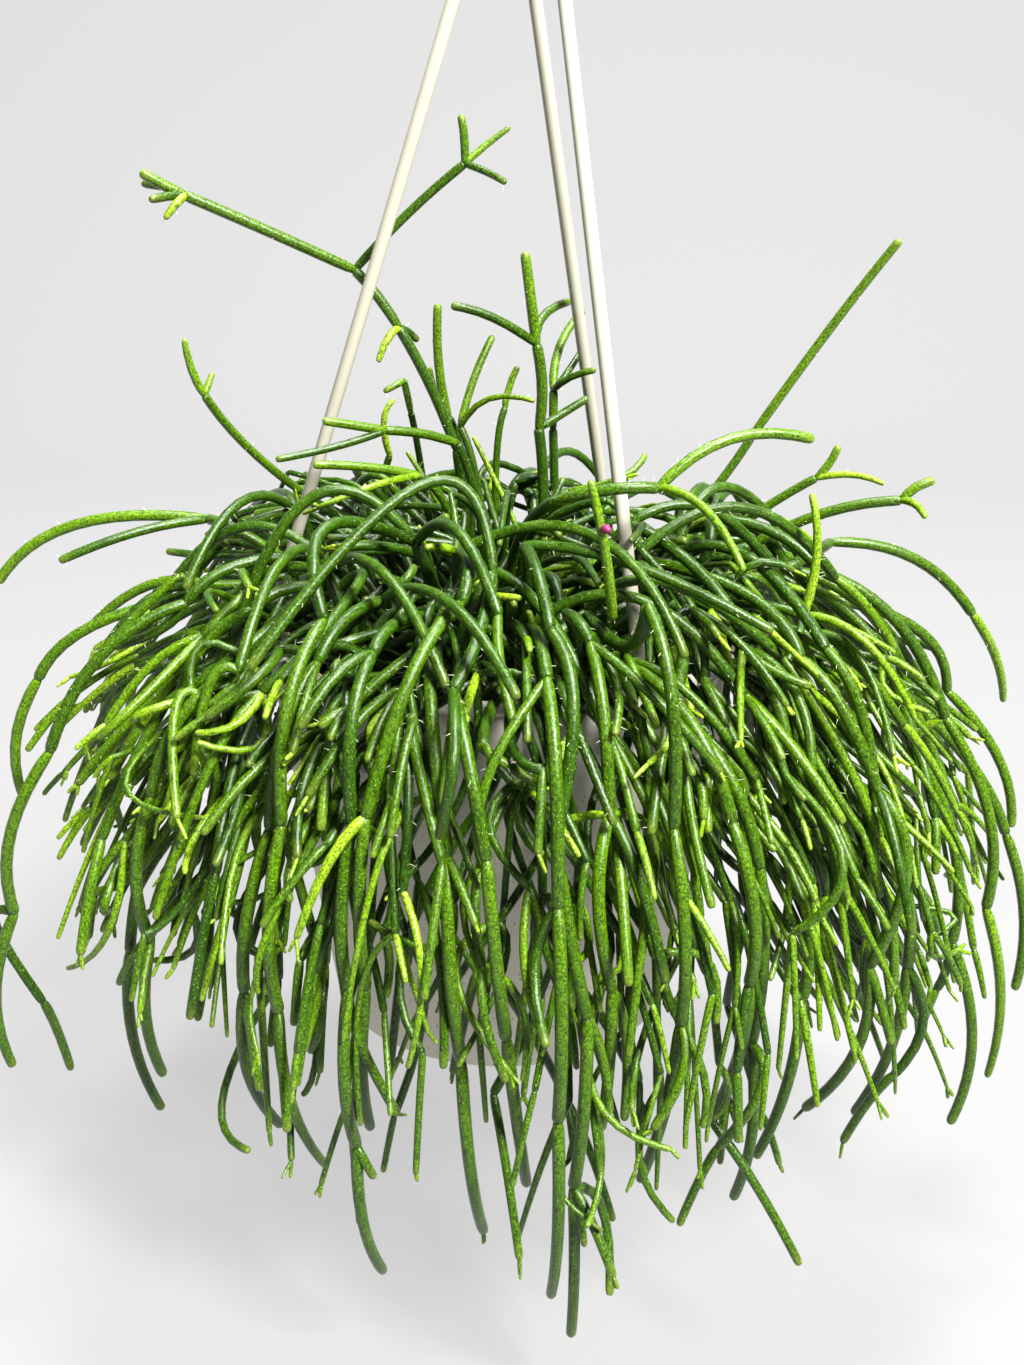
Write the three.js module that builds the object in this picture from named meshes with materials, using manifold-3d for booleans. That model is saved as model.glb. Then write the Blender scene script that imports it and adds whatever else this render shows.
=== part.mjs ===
// Mistletoe cactus in a hanging pot: a tapered cup of potting mix on three straight straps,
// with jointed round stems that arch out of the mix and trail over the rim.
// Millimetres, +Z up, origin at the centre of the pot's flat underside.

import * as THREE from 'three';
import { mergeVertices } from 'three/addons/utils/BufferGeometryUtils.js';
import Module from 'manifold-3d';

const wasm = await Module();
wasm.setup();

// Pot
const POT_HEIGHT = 130;
const POT_BASE_RADIUS = 57;
const POT_RIM_RADIUS = 76;
const POT_WALL = 2;
const POT_FLOOR = 3;
const POT_SIDES = 40;
const LIP_OUT = 1.6;
const LIP_HEIGHT = 4;

// Bosses at the rim, which the straps' feet stand in
const BOSS_RADIUS = 5;
const BOSS_BOTTOM = 119.5;
const BOSS_TOP = 132.5;
const BOSS_CENTRE_RADIUS = 74;

// Potting mix
const SOIL_EDGE_LEVEL = 115.5;
const SOIL_CENTRE_LEVEL = 117.5;
const HOLE_BOTTOM = 104.7;
const FIT_GAP = 0.3;

// Hanger
const ARM_RADIUS = 1.95;
const ARM_ANGLES = { left: -177, front: -58, back: 58 };
const ARM_FOOT_LEVEL = 124;
const ARM_TOP_LEVEL = 346;
const HUB_CENTRE = [3.4, 0];
const HUB_TWIST = 40;
const HUB_ARM_RADIUS = 7.8;
const HUB_RADIUS = 13;
const HUB_BOTTOM = 338;
const HUB_TOP = 351;
const HOOK_WIRE = 2.5;
const HOOK_BEND_RADIUS = 15;
const HOOK_BEND_LEVEL = 382;

// Stems
const STEM_SIDES = 4;
const GIRTH = 1.14;
const STEM_GAP = 0.65;
const ROOT_END = 105;
const ROOT_TOP = 122;
const TRAIL_RADIUS = 1.75;
const TRIES = 16;
const LAYOUTS = 24;
const TRAIL_PIECE = 52;
const SIDE_STEMS = 1.3;
const CROWN_REACH = 52;
const FALL_REACH = 56;

// The dome that the stems hang in
const DOME_HALF_WIDTH = 168;
const DOME_HALF_DEPTH = 138;
const DOME_HEIGHT = 182;
const DOME_POWER = 2.4;
const DOME_FOOT = 4;
const SKIRT_LEVEL = -28;

const colours = {
  plastic: 0xb4b29b,
  pot: 0xa9a393,
  soil: 0x3a2c20,
  stem: 0x5b8a14,
};

function material(colour, roughness) {
  return new THREE.MeshStandardMaterial({ color: colour, roughness, metalness: 0 });
}

// Closed solids and their joins and cuts

function solid(geometry) {
  const bare = geometry.index ? geometry.toNonIndexed() : geometry.clone();
  bare.deleteAttribute('normal');
  bare.deleteAttribute('uv');
  const merged = mergeVertices(bare, 1e-4);
  const corners = [];
  const index = merged.index.array;
  for (let i = 0; i < index.length; i += 3) {
    const [a, b, c] = [index[i], index[i + 1], index[i + 2]];
    if (a !== b && b !== c && c !== a) corners.push(a, b, c);
  }
  return new wasm.Manifold(new wasm.Mesh({
    numProp: 3,
    vertProperties: new Float32Array(merged.attributes.position.array),
    triVerts: new Uint32Array(corners),
  }));
}

function geometryOf(body) {
  const mesh = body.getMesh();
  const geometry = new THREE.BufferGeometry();
  const positions = new Float32Array(mesh.vertProperties);
  geometry.setAttribute('position', new THREE.BufferAttribute(positions, 3));
  geometry.setIndex(new THREE.BufferAttribute(new Uint32Array(mesh.triVerts), 1));
  geometry.computeVertexNormals();
  return geometry;
}

function rod(from, to, radius, sides) {
  const start = new THREE.Vector3(...from);
  const end = new THREE.Vector3(...to);
  const along = end.clone().sub(start);
  const geometry = new THREE.CylinderGeometry(radius, radius, along.length(), sides);
  const turn = new THREE.Quaternion();
  turn.setFromUnitVectors(new THREE.Vector3(0, 1, 0), along.normalize());
  geometry.applyQuaternion(turn);
  const middle = start.add(end).multiplyScalar(0.5);
  return geometry.translate(middle.x, middle.y, middle.z);
}

function turned(outline, sides) {
  const points = outline.map(([radius, level]) => new THREE.Vector2(radius, level));
  return new THREE.LatheGeometry(points, sides).rotateX(Math.PI / 2);
}

function roundSection(radius, sides) {
  const shape = new THREE.Shape();
  for (let i = 0; i < sides; i++) {
    const angle = (2 * Math.PI * i) / sides;
    const [x, y] = [radius * Math.cos(angle), radius * Math.sin(angle)];
    if (i === 0) shape.moveTo(x, y);
    else shape.lineTo(x, y);
  }
  shape.closePath();
  return shape;
}

function tube(path, radius, sides, steps) {
  return new THREE.ExtrudeGeometry(roundSection(radius, sides), { steps, extrudePath: path });
}

// Hanger lines

const degrees = (angle) => (angle * Math.PI) / 180;

function armLine(angle) {
  const low = degrees(angle);
  const high = degrees(angle + HUB_TWIST);
  const top = new THREE.Vector3(
    HUB_CENTRE[0] + HUB_ARM_RADIUS * Math.cos(high),
    HUB_CENTRE[1] + HUB_ARM_RADIUS * Math.sin(high),
    ARM_TOP_LEVEL,
  );
  const rim = new THREE.Vector3(
    BOSS_CENTRE_RADIUS * Math.cos(low),
    BOSS_CENTRE_RADIUS * Math.sin(low),
    POT_HEIGHT,
  );
  const share = (ARM_FOOT_LEVEL - POT_HEIGHT) / (ARM_TOP_LEVEL - POT_HEIGHT);
  const foot = rim.clone().lerp(top, share);
  return { foot, top };
}

const armLines = Object.fromEntries(
  Object.entries(ARM_ANGLES).map(([name, angle]) => [name, armLine(angle)]),
);

function pastFoot({ foot, top }, extra) {
  const down = foot.clone().sub(top).normalize();
  return foot.clone().addScaledVector(down, extra);
}

function pastTop({ foot, top }, extra) {
  const up = top.clone().sub(foot).normalize();
  return top.clone().addScaledVector(up, extra);
}

// Pot, mix and hanger

function wallRadius(level) {
  return POT_BASE_RADIUS + ((POT_RIM_RADIUS - POT_BASE_RADIUS) * level) / POT_HEIGHT;
}

function makePot() {
  const lipFoot = POT_HEIGHT - LIP_HEIGHT;
  let pot = solid(turned([
    [0, 0],
    [POT_BASE_RADIUS, 0],
    [wallRadius(lipFoot), lipFoot],
    [wallRadius(lipFoot) + LIP_OUT, lipFoot + 1],
    [wallRadius(lipFoot) + LIP_OUT, POT_HEIGHT],
    [POT_RIM_RADIUS - POT_WALL, POT_HEIGHT],
    [wallRadius(POT_FLOOR) - POT_WALL, POT_FLOOR],
    [0, POT_FLOOR],
  ], POT_SIDES));
  for (const line of Object.values(armLines)) {
    const { foot } = line;
    const angle = Math.atan2(foot.y, foot.x);
    const x = BOSS_CENTRE_RADIUS * Math.cos(angle);
    const y = BOSS_CENTRE_RADIUS * Math.sin(angle);
    pot = pot.add(solid(rod([x, y, BOSS_BOTTOM], [x, y, BOSS_TOP], BOSS_RADIUS, 20)));
  }
  for (const line of Object.values(armLines)) {
    const bottom = pastFoot(line, FIT_GAP);
    pot = pot.subtract(solid(rod(bottom.toArray(), line.top.toArray(), ARM_RADIUS + FIT_GAP, 16)));
  }
  return geometryOf(pot);
}

function makeSoil(roots) {
  const floor = POT_FLOOR + FIT_GAP;
  const inside = (level) => wallRadius(level) - POT_WALL - FIT_GAP;
  let soil = solid(turned([
    [0, floor],
    [inside(floor), floor],
    [inside(SOIL_EDGE_LEVEL), SOIL_EDGE_LEVEL],
    [40, SOIL_CENTRE_LEVEL - 0.5],
    [0, SOIL_CENTRE_LEVEL],
  ], POT_SIDES));
  for (const { x, y, radius } of roots) {
    const hole = rod([x, y, HOLE_BOTTOM], [x, y, POT_HEIGHT], (radius * GIRTH + FIT_GAP) * 1.16, 6);
    soil = soil.subtract(solid(hole));
  }
  return geometryOf(soil);
}

function makeArm(line) {
  return rod(line.foot.toArray(), line.top.toArray(), ARM_RADIUS, 16);
}

class HookLine extends THREE.Curve {
  getPoint(t, target = new THREE.Vector3()) {
    const straight = HOOK_BEND_LEVEL - HOOK_BEND_RADIUS - HUB_TOP + 3;
    const round = 1.5 * Math.PI * HOOK_BEND_RADIUS;
    const run = t * (straight + round);
    if (run < straight) return target.set(HUB_CENTRE[0], HUB_CENTRE[1], HUB_TOP - 3 + run);
    const angle = (run - straight) / HOOK_BEND_RADIUS - Math.PI / 2;
    return target.set(
      HUB_CENTRE[0] + HOOK_BEND_RADIUS * Math.cos(angle),
      HUB_CENTRE[1],
      HOOK_BEND_LEVEL + HOOK_BEND_RADIUS * Math.sin(angle),
    );
  }
}

function makeHook() {
  const [x, y] = HUB_CENTRE;
  let hook = solid(rod([x, y, HUB_BOTTOM], [x, y, HUB_TOP], HUB_RADIUS, 28));
  hook = hook.add(solid(tube(new HookLine(), HOOK_WIRE, 8, 22)));
  for (const line of Object.values(armLines)) {
    const roof = pastTop(line, FIT_GAP);
    const socket = rod(line.foot.toArray(), roof.toArray(), ARM_RADIUS + FIT_GAP, 16);
    hook = hook.subtract(solid(socket));
  }
  return geometryOf(hook);
}

// Growth of the plant. A piece of stem runs from one joint to the next and bows through a point
// between them. Every piece keeps clear of the pot, the hanger and the other sprays.

function randomFrom(seed) {
  let state = seed >>> 0;
  return () => {
    state = (state + 0x6d2b79f5) >>> 0;
    let t = state;
    t = Math.imul(t ^ (t >>> 15), t | 1);
    t ^= t + Math.imul(t ^ (t >>> 7), t | 61);
    return ((t ^ (t >>> 14)) >>> 0) / 4294967296;
  };
}

const add = (a, b, k = 1) => [a[0] + k * b[0], a[1] + k * b[1], a[2] + k * b[2]];
const length = (a) => Math.hypot(a[0], a[1], a[2]);
const distance = (a, b) => Math.hypot(a[0] - b[0], a[1] - b[1], a[2] - b[2]);
const between = (a, b, t) => a.map((value, i) => value + t * (b[i] - value));

function control(piece) {
  const middle = between(piece.from, piece.to, 0.5);
  return add(piece.through.map((v) => 2 * v), middle, -1);
}

function along(piece, t) {
  const bend = control(piece);
  const [a, b, c] = [(1 - t) * (1 - t), 2 * t * (1 - t), t * t];
  return [0, 1, 2].map((i) => a * piece.from[i] + b * bend[i] + c * piece.to[i]);
}

const CHECK_STEP = 2;
const CHORD_ERROR = 1.1;
const JOINT_ROOM = 8;
const occupied = [];

// Chords that stay within CHORD_ERROR of the curve
function bends(piece) {
  const bow = distance(piece.through, between(piece.from, piece.to, 0.5));
  const count = Math.max(1, Math.ceil(Math.sqrt(bow / CHORD_ERROR)));
  return Array.from({ length: count + 1 }, (_, i) => along(piece, i / count));
}

function checkPoints(piece) {
  const corners = bends(piece);
  const points = [corners[0]];
  for (let i = 1; i < corners.length; i++) {
    const count = Math.max(1, Math.ceil(distance(corners[i - 1], corners[i]) / CHECK_STEP));
    for (let k = 1; k <= count; k++) points.push(between(corners[i - 1], corners[i], k / count));
  }
  return points;
}

function occupy(points, radius, owner) {
  for (const point of points) occupied.push({ point, radius, owner });
}

function clearOfPot(point, radius) {
  const [x, y, z] = point;
  const out = Math.hypot(x, y);
  const room = radius * GIRTH + 0.6;
  if (z > POT_HEIGHT + room + 0.4) return true;
  const lipRoom = room + 0.8;
  if (out > wallRadius(Math.max(z, 0)) + lipRoom + (z > 122 ? LIP_OUT : 0)) return true;
  return z > SOIL_CENTRE_LEVEL + room && out < wallRadius(z) - POT_WALL - lipRoom;
}

function isClear(piece, owner) {
  const others = occupied.filter(
    (other) => other.owner !== owner || distance(other.point, piece.from) > JOINT_ROOM,
  );
  for (const point of checkPoints(piece)) {
    if (!clearOfPot(point, piece.radius)) return false;
    for (const other of others) {
      const reach = (other.radius + piece.radius) * GIRTH + STEM_GAP;
      const dx = point[0] - other.point[0];
      const dy = point[1] - other.point[1];
      const dz = point[2] - other.point[2];
      if (dx * dx + dy * dy + dz * dz < reach * reach) return false;
    }
  }
  return true;
}

function growPiece(spray, from, through, to, radius, loose) {
  const { random } = spray;
  for (let i = 0; i < TRIES; i++) {
    const reach = (loose * i) / TRIES;
    const nudge = () => [0, 1, 2].map(() => (random() * 2 - 1) * reach);
    const piece = { from, through: add(through, nudge()), to: add(to, nudge()), radius };
    if (isClear(piece, spray.name)) {
      occupy(checkPoints(piece), radius, spray.name);
      return piece;
    }
  }
  return null;
}

// Sprays drawn stem by stem. stem() gives the point that a piece bows through, the joint that
// it ends at, and the pieces that go on from that joint. The first of those carries on the same
// run of stem, and the others each begin a thinner run.

const stem = (through, to, ...next) => ({ through, to, next });

function growDrawn(spray, run, from, part, radius) {
  const piece = growPiece(spray, from, part.through, part.to, radius, 9);
  if (!piece) return;
  run.push(piece);
  part.next.forEach((next, i) => {
    const nextRun = i === 0 ? run : startRun(spray);
    growDrawn(spray, nextRun, piece.to, next, i === 0 ? radius : Math.max(0.9, radius * 0.84));
  });
}

function startRun(spray) {
  const run = [];
  spray.runs.push(run);
  return run;
}

const drawnSprays = [
  { name: 'spray_tall_left', root: [-12, 14], radius: 1.6,
    shape: stem([-12, 14, 150], [-15, 8, 183],
      stem([-23, 7, 203], [-32, 6, 220],
        stem([-38, 6, 229], [-45, 6, 237],
          stem([-68, -4, 248], [-90, -12, 258],
            stem([-96, -14, 261], [-101, -16, 264]),
            stem([-95, -10, 260], [-103, -7, 261]),
            stem([-93, -14, 258], [-98, -20, 257]),
            stem([-92, -15, 256], [-95, -17, 252])),
          stem([-29, 8, 253], [-12, 6, 267],
            stem([-12, 5, 274], [-13, 5, 280]),
            stem([-6, 8, 272], [1, 10, 277]),
            stem([-6, 2, 265], [0, -2, 262]))),
        stem([-35, 2, 218], [-38, 0, 211]),
        stem([-30, 9, 219], [-27, 12, 216]))) },
  { name: 'spray_left_sprig', root: [-40, 28], radius: 1.4,
    shape: stem([-48, 28, 146], [-66, 22, 166],
      stem([-82, 13, 183], [-92, 4, 200],
        stem([-95, 2, 208], [-96, 0, 217]),
        stem([-91, 6, 203], [-90, 8, 206]))) },
  { name: 'spray_left_low', root: [-4, 4], radius: 1.4,
    shape: stem([-7, 0, 160], [-14, -4, 187],
      stem([-24, -10, 191], [-35, -16, 193],
        stem([-43, -20, 195], [-52, -24, 197]),
        stem([-48, -24, 193], [-63, -32, 186]))) },
  { name: 'spray_left_flat', root: [-12, -10], radius: 1.4,
    shape: stem([-14, -12, 160], [-25, -18, 180],
      stem([-39, -26, 184], [-54, -33, 186]),
      stem([-39, -29, 182], [-49, -37, 176])) },
  { name: 'spray_cluster_a', root: [-12, 26], radius: 1.5,
    shape: stem([-12, 23, 165], [-18, 20, 191],
      stem([-21, 20, 208], [-21, 20, 226]),
      stem([-22, 22, 198], [-24, 25, 206])) },
  { name: 'spray_cluster_b', root: [-3, 12], radius: 1.3,
    shape: stem([-8, 11, 168], [-14, 13, 189],
      stem([-10, 18, 203], [-4, 24, 216]),
      stem([-5, 7, 199], [9, 3, 199])) },
  { name: 'spray_cluster_c', root: [-2, 36], radius: 1.2,
    shape: stem([-3, 33, 170], [0, 34, 192], stem([1, 35, 198], [4, 36, 205])) },
  { name: 'spray_cluster_d', root: [-22, 42], radius: 1.2,
    shape: stem([-28, 38, 170], [-31, 34, 190],
      stem([-32, 33, 196], [-33, 32, 201], stem([-35, 30, 200], [-39, 28, 198]))) },
  { name: 'spray_cluster_e', root: [-36, 38], radius: 1.2,
    shape: stem([-40, 34, 160], [-38, 32, 176], stem([-38, 31, 187], [-37, 30, 198])) },
  { name: 'spray_centre_upright', root: [12, 28], radius: 1.8,
    shape: stem([13, 30, 160], [11, 30, 186],
      stem([12, 30, 199], [10, 30, 213],
        stem([8, 30, 227], [6, 30, 241]),
        stem([-5, 24, 219], [-20, 18, 224]),
        stem([12, 37, 221], [21, 46, 225])),
      stem([20, 34, 191], [27, 36, 195])) },
  { name: 'spray_centre_twin', root: [18, 42], radius: 1.5,
    shape: stem([17, 41, 160], [16, 40, 184],
      stem([16, 40, 191], [16, 40, 197],
        stem([18, 50, 210], [26, 58, 221]),
        stem([18, 46, 204], [25, 51, 207]),
        stem([21, 34, 202], [29, 30, 205]))) },
  { name: 'spray_right_long', root: [46, 30], radius: 1.5,
    shape: stem([54, 30, 143], [68, 30, 164],
      stem([75, 30, 174], [81, 30, 184], stem([103, 24, 220], [120, 18, 246]))) },
  { name: 'spray_right_arch', root: [2, -20], radius: 1.6,
    shape: stem([3, -36, 160], [14, -60, 182],
      stem([28, -68, 187], [41, -66, 187],
        stem([60, -60, 199], [83, -54, 198]),
        stem([52, -76, 184], [61, -88, 171]))) },
  { name: 'spray_right_short', root: [6, 50], radius: 1.3,
    shape: stem([8, 49, 148], [22, 50, 161], stem([37, 52, 168], [52, 54, 177])) },
  { name: 'spray_right_fork', root: [50, 12], radius: 1.4,
    shape: stem([58, 11, 145], [76, 8, 160],
      stem([87, 5, 169], [97, 2, 176],
        stem([101, 2, 181], [103, 2, 186]),
        stem([107, -2, 178], [116, -6, 176]))) },
  { name: 'spray_right_far', root: [48, -6], radius: 1.6,
    shape: stem([55, -7, 144], [76, -9, 157],
      stem([97, -15, 169], [118, -20, 174],
        stem([122, -20, 178], [127, -20, 180]),
        stem([121, -25, 174], [123, -29, 171]))) },
  { name: 'spray_lime_front', root: [22, -38], radius: 1.5,
    shape: stem([28, -52, 146], [29, -80, 156], stem([26, -86, 176], [22, -86, 193])) },
  { name: 'spray_lime_right', root: [50, -26], radius: 1.5,
    shape: stem([64, -34, 144], [86, -46, 146],
      stem([89, -44, 164], [87, -40, 180]),
      stem([82, -56, 140], [72, -66, 124])) },
];

// Sprays that trail over the rim, each to the tip given here

const trailTips = [
  [-152, -60, 2], [-153, -22, 77], [-157, -10, 144], [-100, -78, 12], [-105, -66, -9],
  [-64, -88, 2], [-50, -96, -6], [-36, -102, 12], [-33, -108, -33], [-4, -112, -15],
  [8, -108, -2], [15, -120, -30], [21, -118, -46], [28, -112, 20], [40, -106, -2],
  [69, -94, -18], [62, -98, 12], [76, -88, -8], [92, -76, 0], [110, -66, -9],
  [144, -56, -20], [157, -48, -8], [170, -28, 12], [173, 2, 57], [172, 22, 95],
  [140, 60, 30], [104, 92, 12], [60, 112, -14], [20, 122, 24], [-22, 120, -8],
  [-66, 108, 16], [-108, 80, -2], [-142, 44, 32],
];

const RIM_CROSSING = 80;

function domeRadius(x, y) {
  const far = Math.max(1, Math.hypot(x, y));
  return 1 / Math.hypot(x / far / DOME_HALF_WIDTH, y / far / DOME_HALF_DEPTH);
}

// 0 at the foot of the plant, 1 on the dome
function domeShare([x, y, z]) {
  const across = Math.hypot(x, y) / domeRadius(x, y);
  const up = Math.max(0, z) / DOME_HEIGHT;
  return (across ** DOME_POWER + up ** DOME_POWER) ** (1 / DOME_POWER);
}

// The way that stems head at a point: out at the crown, over the shoulder, then down
function flow([x, y, z]) {
  const far = Math.max(1, Math.hypot(x, y));
  const out = Math.max(z, DOME_FOOT) ** (DOME_POWER - 1) / DOME_HEIGHT ** DOME_POWER;
  const down = far ** (DOME_POWER - 1) / domeRadius(x, y) ** DOME_POWER;
  const way = [(x / far) * out, (y / far) * out, -down];
  return way.map((v) => v / length(way));
}

function trailJoints(spray, tip) {
  const { random } = spray;
  const angle = Math.atan2(tip[1], tip[0]) + (random() - 0.5) * 0.3;
  const out = [Math.cos(angle), Math.sin(angle), 0];
  const rootOut = Math.hypot(spray.root[0], spray.root[1]);
  const crown = 0.35 + 0.25 * random();
  const first = add([0, 0, 146 + 22 * random()], out, rootOut + crown * (RIM_CROSSING - rootOut));
  const second = add([0, 0, 138 + 20 * random()], out, RIM_CROSSING + 8 + 14 * random());
  const drop = length(add(tip, second, -1));
  const count = Math.max(1, Math.round(drop / TRAIL_PIECE));
  const joints = [first, second];
  for (let i = 1; i < count; i++) {
    const t = i / count;
    const swell = Math.sin(Math.PI * t) * (14 + 12 * random());
    joints.push(add(add(between(second, tip, t), out, swell), [0, 0, 1], swell * 0.4));
  }
  joints.push(tip);
  return joints;
}

function heading(piece) {
  const ahead = add(piece.to, piece.through, -1);
  return ahead.map((v) => v / length(ahead));
}

// Goes on from the end of a run, down the dome
function growFall(spray, run, reach, stray) {
  const { random } = spray;
  const last = run.at(-1);
  const nudge = [random() - 0.5, random() - 0.5, random() - 0.5];
  let way = add(flow(last.to), heading(last), 0.4);
  way = add(way, nudge, stray);
  const to = add(last.to, way, reach / length(way));
  if (to[2] < SKIRT_LEVEL || domeShare(to) > 1) return;
  const through = add(between(last.to, to, 0.5), [0, 0, 1], reach * (0.04 + 0.08 * random()));
  const piece = growPiece(spray, last.to, through, to, last.radius, 16);
  if (piece) run.push(piece);
}

function growSide(spray, from, onward, radius, reach) {
  const { random } = spray;
  const outward = flow(from);
  const side = [-outward[1], outward[0], 0];
  const turn = (random() < 0.5 ? -1 : 1) * (0.4 + 0.5 * random());
  let way = add(onward.map((v) => v * 0.5), side, turn);
  way = add(way, outward, 0.6);
  const to = add(from, way, reach / length(way));
  const through = add(between(from, to, 0.5), [0, 0, 1], reach * (0.05 + 0.1 * random()));
  const piece = growPiece(spray, from, through, to, radius, 14);
  if (!piece) return;
  const run = startRun(spray);
  run.push(piece);
  growFall(spray, run, reach * 0.8, 1);
}

// An arch from the crown over the rim, to one side of the spine, that then falls down the dome
function growCrown(spray, from, hand) {
  const { random } = spray;
  const angle = Math.atan2(from[1], from[0]) + hand * (0.25 + 0.5 * random());
  const out = Math.hypot(from[0], from[1]) + CROWN_REACH * (0.55 + 0.45 * random());
  const to = [out * Math.cos(angle), out * Math.sin(angle), from[2] - 8 - 30 * random()];
  const reach = distance(from, to);
  const through = add(between(from, to, 0.5), [0, 0, 1], reach * (0.16 + 0.14 * random()));
  const piece = growPiece(spray, from, through, to, spray.radius * 0.9, 20);
  if (!piece) return;
  const run = startRun(spray);
  run.push(piece);
  growFall(spray, run, FALL_REACH * (0.6 + 0.4 * random()), 0.6);
  growFall(spray, run, FALL_REACH * (0.5 + 0.4 * random()), 0.6);
}

function growSpine(spray, joints) {
  const { random } = spray;
  const spine = spray.runs[0];
  for (const [i, to] of joints.entries()) {
    const from = spine.at(-1).to;
    const reach = length(add(to, from, -1));
    const away = [from[0] + to[0], from[1] + to[1], 0];
    const bulge = reach * (0.05 + 0.08 * random());
    let through = add(between(from, to, 0.5), away, bulge / Math.max(1, length(away)));
    through = add(through, [0, 0, 1], i < 3 ? reach * 0.12 : 0);
    const piece = growPiece(spray, from, through, to, spray.radius, i === 0 ? 22 : 12);
    if (!piece) return false;
    spine.push(piece);
  }
  return true;
}

function growTrail(spray) {
  const { random } = spray;
  const spine = spray.runs[0];
  const mark = occupied.length;
  for (let i = 0; i < LAYOUTS; i++) {
    if (growSpine(spray, trailJoints(spray, spray.tip))) break;
    if (i === LAYOUTS - 1) break;
    occupied.length = mark;
    spine.length = 1;
  }
  if (spine.length > 1) {
    growCrown(spray, spine[1].to, 1);
    growCrown(spray, spine[1].to, -1);
  }
  for (const piece of spine.slice(2, -1)) {
    const sides = Math.floor(random() * SIDE_STEMS);
    for (let k = 0; k < sides; k++) {
      growSide(spray, piece.to, heading(piece), spray.radius * 0.86, 20 + 26 * random());
    }
  }
}

// Roots stand straight in the mix, spaced apart

const roots = [];

function rootIsFree([x, y], radius) {
  return roots.every((r) => Math.hypot(r.x - x, r.y - y) > (r.radius + radius) * GIRTH + 2.6);
}

function plantRoot(spray, x, y) {
  const piece = {
    from: [x, y, ROOT_END],
    through: [x, y, (ROOT_END + ROOT_TOP) / 2],
    to: [x, y, ROOT_TOP],
    radius: spray.radius,
  };
  roots.push({ x, y, radius: spray.radius });
  occupy(checkPoints(piece), spray.radius, spray.name);
  startRun(spray).push(piece);
  spray.root = [x, y];
}

function findRoot(spray, tip) {
  const { random } = spray;
  for (let i = 0; i < 200; i++) {
    const angle = Math.atan2(tip[1], tip[0]) + (random() - 0.5) * (0.6 + i * 0.01);
    const out = 24 + 40 * random();
    const spot = [out * Math.cos(angle), out * Math.sin(angle)];
    if (rootIsFree(spot, spray.radius)) return spot;
  }
  return null;
}

function occupyHanger() {
  for (const { foot, top } of Object.values(armLines)) {
    const line = { from: foot.toArray(), to: top.toArray() };
    line.through = between(line.from, line.to, 0.5);
    occupy(checkPoints(line), ARM_RADIUS, 'hanger');
    const boss = add([0, 0, 0], [foot.x, foot.y, 0], BOSS_CENTRE_RADIUS / Math.hypot(foot.x, foot.y));
    const from = [boss[0], boss[1], BOSS_BOTTOM];
    const to = [boss[0], boss[1], BOSS_TOP];
    occupy(checkPoints({ from, through: between(from, to, 0.5), to }), BOSS_RADIUS, 'hanger');
  }
}

function growPlant() {
  occupyHanger();
  const sprays = drawnSprays.map((drawn, i) => ({ ...drawn, random: randomFrom(101 + i), runs: [] }));
  trailTips.forEach((tip, i) => {
    const name = `spray_trail_${String(i + 1).padStart(2, '0')}`;
    sprays.push({ name, tip, radius: TRAIL_RADIUS, random: randomFrom(501 + i), runs: [] });
  });
  for (const spray of sprays) {
    const spot = spray.root ?? findRoot(spray, spray.tip);
    plantRoot(spray, spot[0], spot[1]);
  }
  for (const spray of sprays) {
    const [spine] = spray.runs;
    if (spray.shape) growDrawn(spray, spine, spine[0].to, spray.shape, spray.radius);
    else growTrail(spray);
  }
  return sprays;
}

// Each run of stem is one faceted tube that keeps its kinks, and starts inside the stem it grows from

const JOINT_LAP = 0.6;

class StemLine extends THREE.Curve {
  constructor(points) {
    super();
    this.points = points;
  }

  getPoint(t, target = new THREE.Vector3()) {
    const place = t * (this.points.length - 1);
    const i = Math.min(Math.floor(place + 1e-9), this.points.length - 2);
    return target.lerpVectors(this.points[i], this.points[i + 1], place - i);
  }

  getPointAt(t, target) {
    return this.getPoint(t, target);
  }

  getTangentAt(t, target = new THREE.Vector3()) {
    const i = Math.round(t * (this.points.length - 1));
    const before = this.points[Math.max(i - 1, 0)];
    const after = this.points[Math.min(i + 1, this.points.length - 1)];
    return target.subVectors(after, before).normalize();
  }
}

function runBody(run, i) {
  const { radius } = run[0];
  const start = new THREE.Vector3(...run[0].from);
  if (i > 0) {
    const onward = new THREE.Vector3(...bends(run[0])[1]).sub(start).normalize();
    start.addScaledVector(onward, -JOINT_LAP * radius);
  }
  const points = [start];
  for (const piece of run) {
    for (const corner of bends(piece).slice(1)) points.push(new THREE.Vector3(...corner));
  }
  const line = new StemLine(points);
  return solid(tube(line, radius * GIRTH, STEM_SIDES, points.length - 1));
}

function makeSpray(spray) {
  const [first, ...rest] = spray.runs.filter((run) => run.length > 0).map(runBody);
  return geometryOf(rest.reduce((body, run) => body.add(run), first));
}

const sprays = growPlant();

const group = new THREE.Group();

function show(name, geometry, look) {
  const mesh = new THREE.Mesh(geometry, look);
  mesh.name = name;
  group.add(mesh);
}

const plastic = material(colours.plastic, 0.5);
show('pot', makePot(), material(colours.pot, 0.75));
show('soil', makeSoil(roots), material(colours.soil, 0.95));
for (const [name, line] of Object.entries(armLines)) {
  show(`hanger_arm_${name}`, makeArm(line), plastic);
}
show('hanger_hook', makeHook(), plastic);
for (const spray of sprays) show(spray.name, makeSpray(spray), material(colours.stem, 0.4));

export default group;
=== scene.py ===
"""Mistletoe cactus in a hanging pot: fine stems, skin, pot, hanger, light and camera."""

import math
from dataclasses import dataclass

import bmesh
import bpy
import numpy as np
from mathutils import Matrix, Vector


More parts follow.
